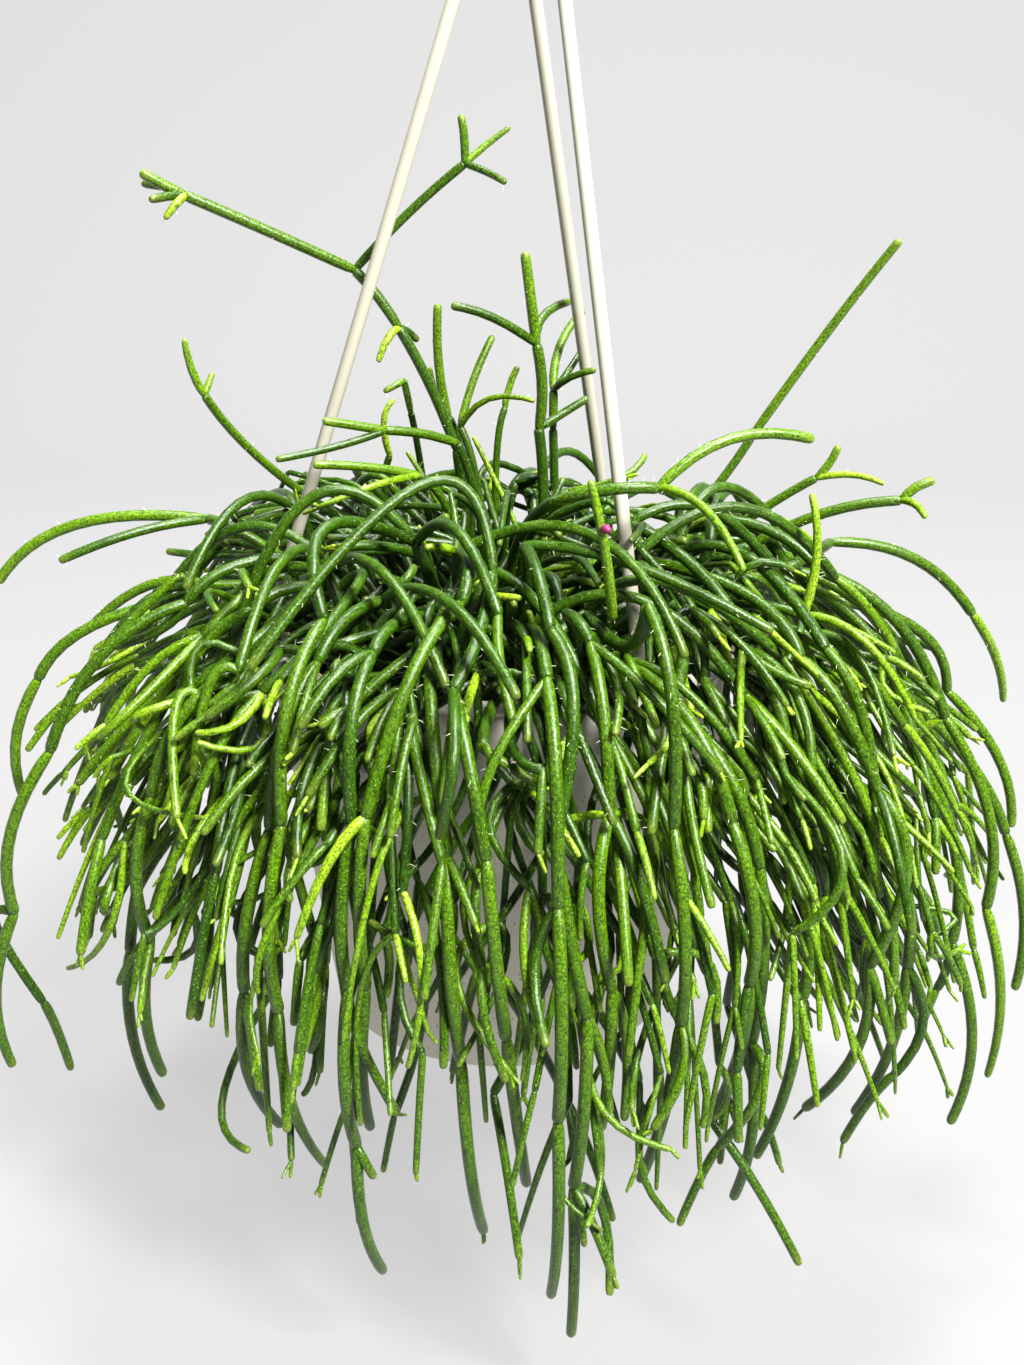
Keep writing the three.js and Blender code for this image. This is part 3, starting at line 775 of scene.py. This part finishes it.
def rings(piece):
    """(point, thickness, run in mm) for every ring along a piece, and the piece's length."""
    ahead = add(piece.at(1.0), piece.at(0.98), -1)
    behind = add(piece.at(0.0), piece.at(0.02), -1)
    reach = sum(distance(piece.at(k / 8), piece.at((k + 1) / 8)) for k in range(8))
    radius = piece.radius
    shrink = min(1.0, reach / (radius * SHORT_PIECE))

    def off(step):
        return step * radius * (shrink if step > 0 else 1)

    found = [(off(step), width) for step, width in JOINT_START]
    ends = [(reach - off(step), width) for step, width in JOINT_END]
    middle_from, middle_to = found[-1][0], ends[0][0]
    count = max(1, math.ceil((middle_to - middle_from) / RING_STEP))
    found += [(middle_from + (middle_to - middle_from) * k / count, 1.0) for k in range(1, count)]
    result = []
    for run, width in found + ends:
        if run < 0:
            point = toward(piece.start, behind, -run)
        elif run > reach:
            point = toward(piece.end, ahead, run - reach)
        else:
            point = piece.at(run / reach)
        taper = 1 - piece.taper * min(1.0, max(0.0, run / reach)) ** 1.5
        result.append((point, width * radius * taper, run))
    return result, reach


def new_curve(name, thickness, roundness):
    curve = bpy.data.curves.new(name, "CURVE")
    curve.dimensions = "3D"
    curve.bevel_depth = thickness * MM
    curve.bevel_resolution = roundness
    return curve


def draw_line(curve, line):
    """Adds a line of (place in metres, width) to a curve."""
    points = curve.splines.new("POLY").points
    points.add(len(line) - 1)
    for point, (place, width) in zip(points, line):
        point.co = (*place, 1)
        point.radius = width


def new_object(name, data):
    item = bpy.data.objects.new(name, data)
    bpy.context.collection.objects.link(item)
    return item


def mesh_of(curve, name):
    draft = new_object(name, curve)
    bpy.context.view_layer.update()
    depsgraph = bpy.context.evaluated_depsgraph_get()
    mesh = bpy.data.meshes.new_from_object(draft.evaluated_get(depsgraph))
    mesh.name = name
    bpy.data.objects.remove(draft)
    bpy.data.curves.remove(curve)
    return mesh


def smooth(mesh, sharp_from=None):
    """Shades a mesh smooth, but for edges that turn by more than so many degrees."""
    mesh.polygons.foreach_set("use_smooth", [True] * len(mesh.polygons))
    if sharp_from:
        mesh.set_sharp_from_angle(angle=math.radians(sharp_from))
    return mesh


def settle(shape, mesh, sharp_from=None):
    """Puts the edited shape into a mesh and shades it."""
    shape.to_mesh(mesh)
    shape.free()
    return smooth(mesh, sharp_from)


# Painted shade: the skin darkens toward old-wood green deep in the dome and low on the plant
PAINTED_SHADE_FROM, PAINTED_SHADE_BAND = 0.62, 0.3
INNER_PAINTED_SHADE = 0.3
LOW_LEVEL, LOW_PAINTED_SHADE = 110, 0.62


# Painted shade: 1 on the open dome and high up, less deep inside and low down
def painted_shade_at(place):
    depth = min(1.0, max(0.0, (dome_share(place) - PAINTED_SHADE_FROM) / PAINTED_SHADE_BAND))
    low = min(1.0, max(0.0, place[2] / LOW_LEVEL))
    return (INNER_PAINTED_SHADE + (1 - INNER_PAINTED_SHADE) * depth) * (LOW_PAINTED_SHADE + (1 - LOW_PAINTED_SHADE) * low)


def stem_mesh(name, pieces):
    """Tubes with three marks a corner: age with painted shade, nearness to a tip, and place on the
    skin.
    """
    curve = new_curve(name, 1.0, TUBE_SIDES // 2 - 2)
    shaded_ages, places, tips = [], [], []
    for number, piece in enumerate(pieces):
        line, reach = rings(piece)
        draw_line(curve, [(scaled(place, MM), radius) for place, radius, _ in line])
        for place, radius, run in line:
            # Painted shade: the age mark is lowered deep in the dome and low down, darkening the
            # skin there
            age = piece.age * painted_shade_at(place)
            tip = max(0.0, 1 - (reach - run) / 3.0) if piece.free_end else 0.0
            for side in range(TUBE_SIDES):
                places += polar(radius, 2 * math.pi * side / TUBE_SIDES)
                places.append(run + PATTERN_STEP * number)
                shaded_ages.append(age)
                tips.append(tip)
    mesh = mesh_of(curve, name)
    for mark, values in (("age", shaded_ages), ("tip", tips)):
        mesh.attributes.new(mark, "FLOAT", "POINT").data.foreach_set("value", values)
    mesh.attributes.new("place", "FLOAT_VECTOR", "POINT").data.foreach_set("vector", places)
    shape = bmesh.new()
    shape.from_mesh(mesh)
    bmesh.ops.holes_fill(shape, edges=[e for e in shape.edges if e.is_boundary])
    return settle(shape, mesh)


# Ends, bristles and the flower bud

LIME_SPRAYS = ("spray_lime_front", "spray_lime_right")
SLIM_RADIUS, SLIM_LENGTH = 1.25, 22
YOUNG_SLIM, YOUNG_STOUT = 0.42, 0.05
YOUNG_AGE, OLD_AGE = 0.72, 0.66
YOUNG_TAPER, OLD_TAPER = 0.3, 0.1
BUDDING_SHARE = 0.34
BRISTLE_RADIUS = 0.07
BRISTLE_STEP = 9
BUD_PLACE = (25.0, -78.0, 184.0)
BUD_WAY = (0.15, -0.75, 0.65)
BUD_RADIUS = 1.25


def finish_ends(spray):
    """Marks the free ends, and puts a few new shoots on some of them."""
    random = spray.random
    pieces = spray.pieces()
    starts = {piece.start for piece in pieces}
    spray.fringe, spray.edge = SKIRT_LEVEL, DOME_EDGE
    for piece in pieces:
        piece.free_end = piece.end not in starts
        if not piece.free_end:
            continue
        slim = piece.radius < SLIM_RADIUS or distance(piece.start, piece.end) < SLIM_LENGTH
        young = random() < (YOUNG_SLIM if slim else YOUNG_STOUT) or spray.name in LIME_SPRAYS
        piece.age = YOUNG_AGE + 0.28 * random() if young else min(OLD_AGE, piece.age)
        piece.taper = YOUNG_TAPER if young else OLD_TAPER
        if random() > BUDDING_SHARE:
            continue
        for _ in range(1 + math.floor(random() * 2.4)):
            way = add(piece.heading(), stray(random), 1.2)
            end = toward(piece.end, way, 2.0 + 4.5 * random())
            if in_reach(end, spray):
                tip = straight(piece.end, end, 0.5 + 0.25 * random(), 0.95)
                tip.taper = YOUNG_TAPER
                spray.start_run(tip)


def make_bristles(spray, material):
    """Short pale bristles on the skin."""
    random = spray.random
    curve = new_curve("bristles", BRISTLE_RADIUS, 0)
    for piece in spray.pieces():
        if piece.radius < THINNEST or piece.start[2] < ROOT_TOP - 1:
            continue
        ahead = Vector(piece.end) - Vector(piece.start)
        for _ in range(math.floor(distance(piece.start, piece.end) / BRISTLE_STEP + random())):
            place = Vector(piece.at(random()))
            around = Vector(stray(random))
            out = (around - ahead * (around.dot(ahead) / ahead.length_squared)).normalized()
            lean = (out + ahead.normalized() * (0.2 + 0.6 * random())).normalized()
            foot = place + out * piece.radius * 0.9
            tip = foot + lean * (0.9 + 1.1 * random())
            draw_line(curve, ((foot * MM, 1.0), (tip * MM, 0.35)))
    mesh = mesh_of(curve, "bristles")
    show(mesh, spray.name.replace("spray", "bristles"), material, "stem")


def make_bud(sprays, skin):
    """One small red flower bud, on the stem nearest to its place at the crown."""
    spots = [(distance(piece.at(t), BUD_PLACE), piece, t) for spray in sprays
             for piece in spray.pieces() if piece.radius > 1 for t in (0.2, 0.35, 0.5, 0.65, 0.8)]
    _, piece, t = min(spots, key=lambda spot: spot[0])
    middle, further = Vector(piece.at(t)), Vector(piece.at(t + 0.1))
    ahead = (further - middle).normalized()
    out = Vector(BUD_WAY)
    out = (out - ahead * out.dot(ahead)).normalized()
    shape = bmesh.new()
    bmesh.ops.create_uvsphere(shape, u_segments=16, v_segments=10, radius=BUD_RADIUS * MM)
    for corner in shape.verts:
        corner.co.z *= 1.5 + 0.2 * math.copysign(1, corner.co.z)
    bmesh.ops.transform(shape, verts=shape.verts, matrix=upright_to(out))
    seat = middle + out * (piece.radius + 0.9 * BUD_RADIUS)
    bmesh.ops.translate(shape, verts=shape.verts, vec=seat * MM)
    show(settle(shape, bpy.data.meshes.new("flower_bud")), "flower_bud", skin, "stem")


def upright_to(way):
    """The turn that takes the upright axis to a way."""
    return way.to_track_quat("Z", "Y").to_matrix().to_4x4()


def show(mesh, name, material, slot, *replaced):
    piece = new_object(name, mesh)
    mesh.materials.clear()
    mesh.materials.append(material)
    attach(piece, "root")
    if replaced:
        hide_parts(*replaced)
    return piece


# Materials

def set_values(thing, **values):
    for key, value in values.items():
        setattr(thing, key, value)
    return thing


class Wiring:
    """Nodes and links of a node tree."""

    def __init__(self, tree):
        self.nodes = tree.nodes
        self.links = tree.links

    def node(self, kind, inputs=(), **values):
        """A new node with its own values, and with its inputs fed by name or number."""
        node = set_values(self.nodes.new(kind), **values)
        for key, value in dict(inputs).items():
            self.feed(node.inputs[key], value)
        return node

    def feed(self, socket, value):
        """Links another socket, or sets a colour or a number."""
        if isinstance(value, bpy.types.NodeSocket):
            self.links.new(value, socket)
        elif isinstance(value, tuple):
            socket.default_value = (*value, 1)
        else:
            socket.default_value = value

    def effect(self, group, **inputs):
        return self.node("ShaderNodeGroup", inputs, node_tree=group).outputs[0]

    def mix(self, share, one, other, blend="MIX"):
        return self.node("ShaderNodeMix", {0: share, 6: one, 7: other}, data_type="RGBA",
                         blend_type=blend).outputs[2]

    def reckon(self, operation, one, other=0.0, clamp=False):
        return self.node("ShaderNodeMath", {0: one, 1: other}, operation=operation,
                         use_clamp=clamp).outputs[0]

    def noise(self, place, scale, detail=3.0, roughness=0.5):
        inputs = {"Vector": place, "Scale": scale, "Detail": detail, "Roughness": roughness}
        return self.node("ShaderNodeTexNoise", inputs).outputs["Fac"]

    def read(self, attribute, output="Fac"):
        return self.node("ShaderNodeAttribute", attribute_name=attribute).outputs[output]


class Look(Wiring):
    """A node material under construction."""

    def __init__(self, name, roughness, gloss=0.5):
        self.material = bpy.data.materials.new(name)
        self.material.use_nodes = True
        super().__init__(self.material.node_tree)
        self.shader = self.nodes["Principled BSDF"].inputs
        self.shader["Roughness"].default_value = roughness
        self.shader["Specular IOR Level"].default_value = gloss

    def finish(self, colour, normal=None):
        self.feed(self.shader["Base Color"], colour)
        if normal:
            self.feed(self.shader["Normal"], normal)
        return self.material


SOCKET_KINDS = {"Place": "NodeSocketVector", "Dark": "NodeSocketColor", "Light": "NodeSocketColor",
                "Colour": "NodeSocketColor", "Normal": "NodeSocketVector"}


def node_group(build, inputs, result):
    """A shared effect with named inputs and the one output that build returns."""
    tree = bpy.data.node_groups.new(build.__name__, "ShaderNodeTree")
    for socket, in_out in (*((socket, "INPUT") for socket in inputs), (result, "OUTPUT")):
        tree.interface.new_socket(name=socket, in_out=in_out,
                                  socket_type=SOCKET_KINDS.get(socket, "NodeSocketFloat"))
    wiring = Wiring(tree)
    given = wiring.node("NodeGroupInput").outputs
    wiring.feed(wiring.node("NodeGroupOutput").inputs[0], build(wiring, given))
    return tree


def mottling(wiring, given):
    """Two tones that drift into each other."""
    cloud = wiring.noise(given["Place"], given["Scale"], given["Detail"], 0.62)
    return wiring.mix(cloud, given["Dark"], given["Light"])


def specks(wiring, given):
    """1 at the middle of scattered specks, 0 between them."""
    cells = wiring.node("ShaderNodeTexVoronoi",
                        {"Vector": given["Place"], "Scale": given["Scale"]}, feature="F1")
    reach = wiring.reckon("ADD", given["Size"], given["Edge"])
    return wiring.node("ShaderNodeMapRange", {
        "Value": cells.outputs["Distance"], "From Min": given["Size"], "From Max": reach,
        "To Min": 1.0, "To Max": 0.0}).outputs["Result"]


def fine_relief(wiring, given):
    """Small lumps in the surface."""
    lumps = wiring.noise(given["Place"], given["Scale"], 4.0, 0.6)
    return wiring.node("ShaderNodeBump", {
        "Strength": given["Strength"], "Distance": given["Distance"],
        "Height": lumps}).outputs["Normal"]


MOTTLING = node_group(mottling, ("Place", "Scale", "Detail", "Dark", "Light"), "Colour")
SPECKS = node_group(specks, ("Place", "Scale", "Size", "Edge"), "Mask")
FINE_RELIEF = node_group(fine_relief, ("Place", "Scale", "Strength", "Distance"), "Normal")

# Green of the skin, from old wood to new shoots
GREENS = (
    (0.0, (0.006, 0.022, 0.0003)),
    (0.3, (0.021, 0.066, 0.0003)),
    (0.6, (0.064, 0.146, 0.0005)),
    (0.82, (0.128, 0.252, 0.002)),
    (1.0, (0.245, 0.395, 0.012)),
)


def stem_skin():
    look = Look("stem_skin", roughness=0.29, gloss=0.36)
    place = look.read("place", "Vector")
    drift = look.reckon("MULTIPLY", look.reckon("SUBTRACT", look.noise(place, 0.05), 0.5), 0.3)
    ramp = look.node("ShaderNodeValToRGB")
    stops = ramp.color_ramp.elements
    while len(stops) < len(GREENS):
        stops.new(0.5)
    for stop, (age, green) in zip(stops, GREENS):
        stop.position = age
        stop.color = (*green, 1)
    # The age mark carries painted shade, so stems deep in the dome and low on the plant take
    # darker greens
    look.feed(ramp.inputs["Fac"], look.reckon("ADD", look.read("age"), drift, clamp=True))
    grain = look.reckon("SUBTRACT", look.noise(place, 1.6, 5.0, 0.7), 0.38)
    grain = look.reckon("MULTIPLY", grain, 3.2, clamp=True)
    mottled = look.mix(0.8, ramp.outputs["Color"], grain, "OVERLAY")
    dots = look.effect(SPECKS, Place=place, Scale=1.1, Size=0.1, Edge=0.12)
    dotted = look.mix(look.reckon("MULTIPLY", dots, 0.55), mottled, (0.34, 0.44, 0.12))
    pale = look.mix(look.reckon("MULTIPLY", look.read("tip"), 0.2), dotted, (0.30, 0.38, 0.05))
    relief = look.effect(FINE_RELIEF, Place=place, Scale=2.2, Strength=0.42, Distance=0.0003)
    return look.finish(pale, relief)


# Mottled materials: roughness and gloss; scale, detail, dark and light tone of the mottling; and
# scale, strength and distance of the relief
MOTTLED = {
    "bristle_fuzz": (0.6, 0.5, 90.0, 3.0, (0.55, 0.60, 0.30), (0.80, 0.80, 0.62), None),
    "bud_petals": (0.4, 0.5, 500.0, 3.0, (0.15, 0.006, 0.05), (0.27, 0.02, 0.10), None),
    "pot_plastic": (0.7, 0.3, 30.0, 4.0, (0.49, 0.47, 0.39), (0.59, 0.57, 0.48),
                    (700.0, 0.12, 0.0004)),
    "strap_plastic": (0.42, 0.4, 25.0, 4.0, (0.36, 0.345, 0.27), (0.43, 0.415, 0.335),
                      (900.0, 0.05, 0.0002)),
    "potting_mix": (0.95, 0.5, 260.0, 6.0, (0.007, 0.005, 0.0035), (0.05, 0.034, 0.022),
                    (260.0, 0.9, 0.0015)),
}


def mottled_material(name, speckled=False):
    roughness, gloss, scale, detail, dark, light, lumps = MOTTLED[name]
    look = Look(name, roughness, gloss)
    place = look.node("ShaderNodeTexCoord").outputs["Object"]
    colour = look.effect(MOTTLING, Place=place, Scale=scale, Detail=detail, Dark=dark, Light=light)
    if speckled:
        dots = look.effect(SPECKS, Place=place, Scale=420.0, Size=0.1, Edge=0.1)
        share = look.reckon("MULTIPLY", dots, look.noise(place, 120.0))
        colour = look.mix(share, colour, (0.07, 0.055, 0.04))
    if not lumps:
        return look.finish(colour)
    relief = dict(zip(("Scale", "Strength", "Distance"), lumps))
    return look.finish(colour, look.effect(FINE_RELIEF, Place=place, **relief))


def backdrop_paper():
    look = Look("backdrop_paper", roughness=1.0, gloss=0.0)
    look.shader["Emission Color"].default_value = (1, 1, 1, 1)
    look.shader["Emission Strength"].default_value = 0.57
    return look.finish((0.085, 0.085, 0.085))


# Pot, mix and hanger

def edge_chain(shape, points):
    corners = [shape.verts.new(point) for point in points]
    return corners, [shape.edges.new(pair) for pair in zip(corners, corners[1:])]


def turned_mesh(name, outline, steps, sharp_from):
    """A closed outline of (radius, level) in mm, turned round the upright axis."""
    shape = bmesh.new()
    corners, edges = edge_chain(shape, [(out * MM, 0, level * MM) for out, level in outline])
    bmesh.ops.spin(shape, geom=corners + edges, cent=(0, 0, 0), axis=(0, 0, 1),
                   angle=2 * math.pi, steps=steps, use_merge=True)
    bmesh.ops.remove_doubles(shape, verts=shape.verts, dist=1e-6)
    bmesh.ops.recalc_face_normals(shape, faces=shape.faces)
    return settle(shape, bpy.data.meshes.new(name), sharp_from)


def show_rod(name, line, radius, material, slot, replaced, sides=32, edge=0.4):
    """A round rod along a line of two points in mm, with softened rims."""
    start, end = (Vector(point) * MM for point in line)
    shape = bmesh.new()
    bmesh.ops.create_cone(shape, cap_ends=True, segments=sides, radius1=radius * MM,
                          radius2=radius * MM, depth=(end - start).length,
                          matrix=Matrix.Translation((start + end) / 2) @ upright_to(end - start))
    rims = [e for e in shape.edges if e.calc_face_angle(0) > math.radians(60)]
    bmesh.ops.bevel(shape, geom=rims, offset=edge * MM, segments=3, profile=0.5, affect="EDGES",
                    material=-1)
    mesh = settle(shape, bpy.data.meshes.new(name), sharp_from=40)
    show(mesh, name, material, slot, replaced)


def make_pot(material):
    base = POT_BASE_RADIUS
    lip_foot = POT_HEIGHT - LIP_HEIGHT
    lip = wall_radius(lip_foot) + LIP_OUT
    inner = POT_RIM_RADIUS - POT_WALL
    outline = [
        (0, 0.0), (base - 1.4, 0.0), (base - 0.5, 0.35), (base + 0.15, 1.2),
        (wall_radius(lip_foot), lip_foot), (lip - 0.3, lip_foot + 0.9), (lip, lip_foot + 1.4),
        (lip, POT_HEIGHT - 0.6), (lip - 0.6, POT_HEIGHT), (inner + 0.4, POT_HEIGHT),
        (inner, POT_HEIGHT - 0.4), (wall_radius(POT_FLOOR) - POT_WALL, POT_FLOOR), (0, POT_FLOOR),
    ]
    mesh = turned_mesh("pot_shell", outline, steps=160, sharp_from=30)
    show(mesh, "pot_shell", material, "pot_plastic", "pot")
    for name, foot, _ in ARMS:
        show_rod(f"pot_boss_{name}", boss_line(foot), BOSS_RADIUS - 0.05, material, "pot_plastic",
                 "pot")


def make_soil(material):
    """The potting mix: a turned body with crumbs heaved up on its top."""
    edge = wall_radius(SOIL_EDGE_LEVEL) - POT_WALL - FIT_GAP
    foot = wall_radius(POT_FLOOR + FIT_GAP) - POT_WALL - FIT_GAP
    rise = SOIL_CENTRE_LEVEL - SOIL_EDGE_LEVEL
    outline = [(0, POT_FLOOR + FIT_GAP), (foot, POT_FLOOR + FIT_GAP), (edge, SOIL_EDGE_LEVEL)]
    outline += [(edge * (1 - k / 30), SOIL_EDGE_LEVEL + rise * (k / 30)) for k in range(1, 31)]
    mesh = turned_mesh("soil_crumbs", outline, steps=110, sharp_from=60)
    piece = show(mesh, "soil_crumbs", material, "potting_mix", "soil")
    top = [v.index for v in mesh.vertices if v.co.z > SOIL_EDGE_LEVEL * MM + 1e-6]
    piece.vertex_groups.new(name="top").add(top, 1.0, "REPLACE")
    lumps = set_values(bpy.data.textures.new("soil_lumps", "CLOUDS"), noise_scale=0.006,
                       noise_depth=3)
    set_values(piece.modifiers.new("lumps", "DISPLACE"), texture=lumps, texture_coords="LOCAL",
               direction="Z", strength=0.003, mid_level=0.65, vertex_group="top")


def make_hanger(material):
    for name, foot, top in ARMS:
        show_rod(f"strap_{name}", (foot, top), ARM_RADIUS, material, "strap_plastic",
                 f"hanger_arm_{name}", sides=24)
    for name, foot, top in ARMS:
        share = (HUB_BOTTOM - foot[2]) / (top[2] - foot[2])
        ends = between(foot, top, share - 0.012), between(foot, top, share + 0.01)
        show_rod(f"hub_socket_{name}", ends, SOCKET_RADIUS, material, "strap_plastic",
                 "hanger_hook", edge=0.6)
    x, y = HUB_CENTRE
    hub, collar, low, high = HUB_RADIUS, COLLAR_RADIUS, HUB_BOTTOM, HUB_TOP
    outline = [
        (0, low), (hub - 1.6, low), (hub - 0.5, low + 0.4), (hub, low + 1.4), (hub, high - 2.2),
        (hub - 0.5, high - 0.9), (hub - 1.8, high - 0.2), (collar + 1.2, high + 0.2),
        (collar + 0.3, high + 0.7), (collar, high + 1.6), (collar - 0.5, high + 2.3),
        (0, high + 2.5),
    ]
    mesh = turned_mesh("hanger_hub", outline, steps=96, sharp_from=50)
    mesh.transform(Matrix.Translation((x * MM, y * MM, 0)))
    show(mesh, "hanger_hub", material, "strap_plastic", "hanger_hook")
    curve = new_curve("hook_wire", HOOK_WIRE, 6)
    curve.use_fill_caps = True
    draw_line(curve, [(((x + across) * MM, y * MM, level * MM), width)
                      for across, level, width in hook_line()])
    mesh = smooth(mesh_of(curve, "hook_wire"), 50)
    show(mesh, "hook_wire", material, "strap_plastic", "hanger_hook")


def hook_line():
    """(across, level, thickness) along the wire: the shank, a swing to the side, and the bend."""
    join = math.radians(HOOK_JOIN)
    end = polar(HOOK_BEND_RADIUS, join)
    corner = (0, end[1] + end[0] / math.tan(join))
    start = (0, corner[1] - 5)
    line = [(0, HUB_TOP - 3, 1.0)]
    for k in range(12):
        t = k / 12
        across, level = ((1 - t) ** 2 * s + 2 * t * (1 - t) * c + t * t * e + base
                         for s, c, e, base in zip(start, corner, end, (0, HOOK_BEND_LEVEL)))
        line.append((across, level, 1.0))
    for k in range(61):
        across, up = polar(HOOK_BEND_RADIUS, join + (math.pi - join) * k / 60)
        line.append((across, HOOK_BEND_LEVEL + up, 1.0))
    across, level, _ = line[-1]
    return line + [(across, level - down, width)
                   for down, width in ((0.8, 0.97), (1.5, 0.86), (2.0, 0.68), (2.3, 0.4))]


# Floor, light and camera

FLOOR_LEVEL = -75.0
SWEEP_WIDTH = 6.0
SWEEP_FRONT = -1.6
SWEEP_BACK = 1.2
SWEEP_BEND = 0.6
SWEEP_TOP = 3.0

# Brightness of the room's light on the plant, and what is added where the room itself is seen
ROOM_SKY = 0.06
SEEN_SKY = 0.74


def make_backdrop(material):
    """A pale sweep: floor, a wide bend and a wall behind. Sizes in metres."""
    floor = FLOOR_LEVEL * MM
    outline = [(SWEEP_FRONT, floor)]
    for k in range(17):
        out, up = polar(SWEEP_BEND, -math.pi / 2 + math.pi / 2 * k / 16)
        outline.append((SWEEP_BACK + out, floor + SWEEP_BEND + up))
    outline.append((SWEEP_BACK + SWEEP_BEND, SWEEP_TOP))
    shape = bmesh.new()
    _, edges = edge_chain(shape, [(-SWEEP_WIDTH / 2, *point) for point in outline])
    wide = bmesh.ops.extrude_edge_only(shape, edges=edges)
    moved = [item for item in wide["geom"] if isinstance(item, bmesh.types.BMVert)]
    bmesh.ops.translate(shape, verts=moved, vec=(SWEEP_WIDTH, 0, 0))
    bmesh.ops.recalc_face_normals(shape, faces=shape.faces)
    mesh = settle(shape, bpy.data.meshes.new("backdrop"))
    mesh.materials.append(material)
    new_object("backdrop", mesh)


def area_light(name, place, target, size, power, colour=(1, 1, 1)):
    light = set_values(bpy.data.lights.new(name, "AREA"), shape="DISK", size=size, energy=power,
                       color=colour)
    aim = Vector(target) - Vector(place)
    set_values(new_object(name, light), location=place,
                        rotation_euler=aim.to_track_quat("-Z", "Y").to_euler())


def make_light():
    area_light("key_softbox", (1.0, -1.3, 1.95), (0, 0, 0.1), size=0.6, power=240.0,
               colour=(1.0, 0.99, 0.97))
    area_light("fill_softbox", (-1.2, -1.3, 1.0), (0, 0, 0.1), size=0.8, power=3.0,
               colour=(0.95, 0.98, 1.0))
    area_light("top_softbox", (0.1, 0.3, 2.2), (0, 0, 0.15), size=0.4, power=85.0)
    world = bpy.data.worlds.new("room_light")
    world.use_nodes = True
    wiring = Wiring(world.node_tree)
    sky = wiring.nodes["Background"].inputs
    seen = wiring.node("ShaderNodeLightPath").outputs["Is Camera Ray"]
    wiring.feed(sky["Color"], (0.95, 0.97, 1.0))
    wiring.feed(sky["Strength"],
                wiring.reckon("ADD", wiring.reckon("MULTIPLY", seen, SEEN_SKY), ROOM_SKY))
    bpy.context.scene.world = world


CAMERA_PLACE = (2.9, -429.2, 264.6)
CAMERA_PITCH = 20.0
CAMERA_ROLL = 0.41
SENSOR_WIDTH = 36
FOCAL_SHARE = 1400 / 1365


def make_camera():
    camera = set_values(bpy.data.cameras.new("camera"), sensor_width=SENSOR_WIDTH,
                        lens=SENSOR_WIDTH * FOCAL_SHARE, clip_start=0.01)
    tilt = Matrix.Rotation(math.radians(90 - CAMERA_PITCH), 3, "X")
    roll = Matrix.Rotation(math.radians(CAMERA_ROLL), 3, "Z")
    bpy.context.scene.camera = set_values(
        new_object("camera", camera), location=Vector(CAMERA_PLACE) * MM,
        rotation_euler=(tilt @ roll).to_euler())


def main():
    sprays = grow_plant()
    grow_fine(sprays)
    for _ in range(SKIRT_PASSES):
        fill_skirt(sprays)
    skin = stem_skin()
    fuzz = mottled_material("bristle_fuzz")
    for spray in sprays:
        finish_ends(spray)
        name = spray.name.replace("spray", "stems")
        show(stem_mesh(name, spray.pieces()), name, skin, "stem", spray.name)
        make_bristles(spray, fuzz)
    make_bud(sprays, mottled_material("bud_petals"))
    make_pot(mottled_material("pot_plastic", speckled=True))
    make_soil(mottled_material("potting_mix"))
    make_hanger(mottled_material("strap_plastic"))
    make_backdrop(backdrop_paper())
    make_light()
    make_camera()
    bpy.context.scene.view_settings.view_transform = "Standard"


main()
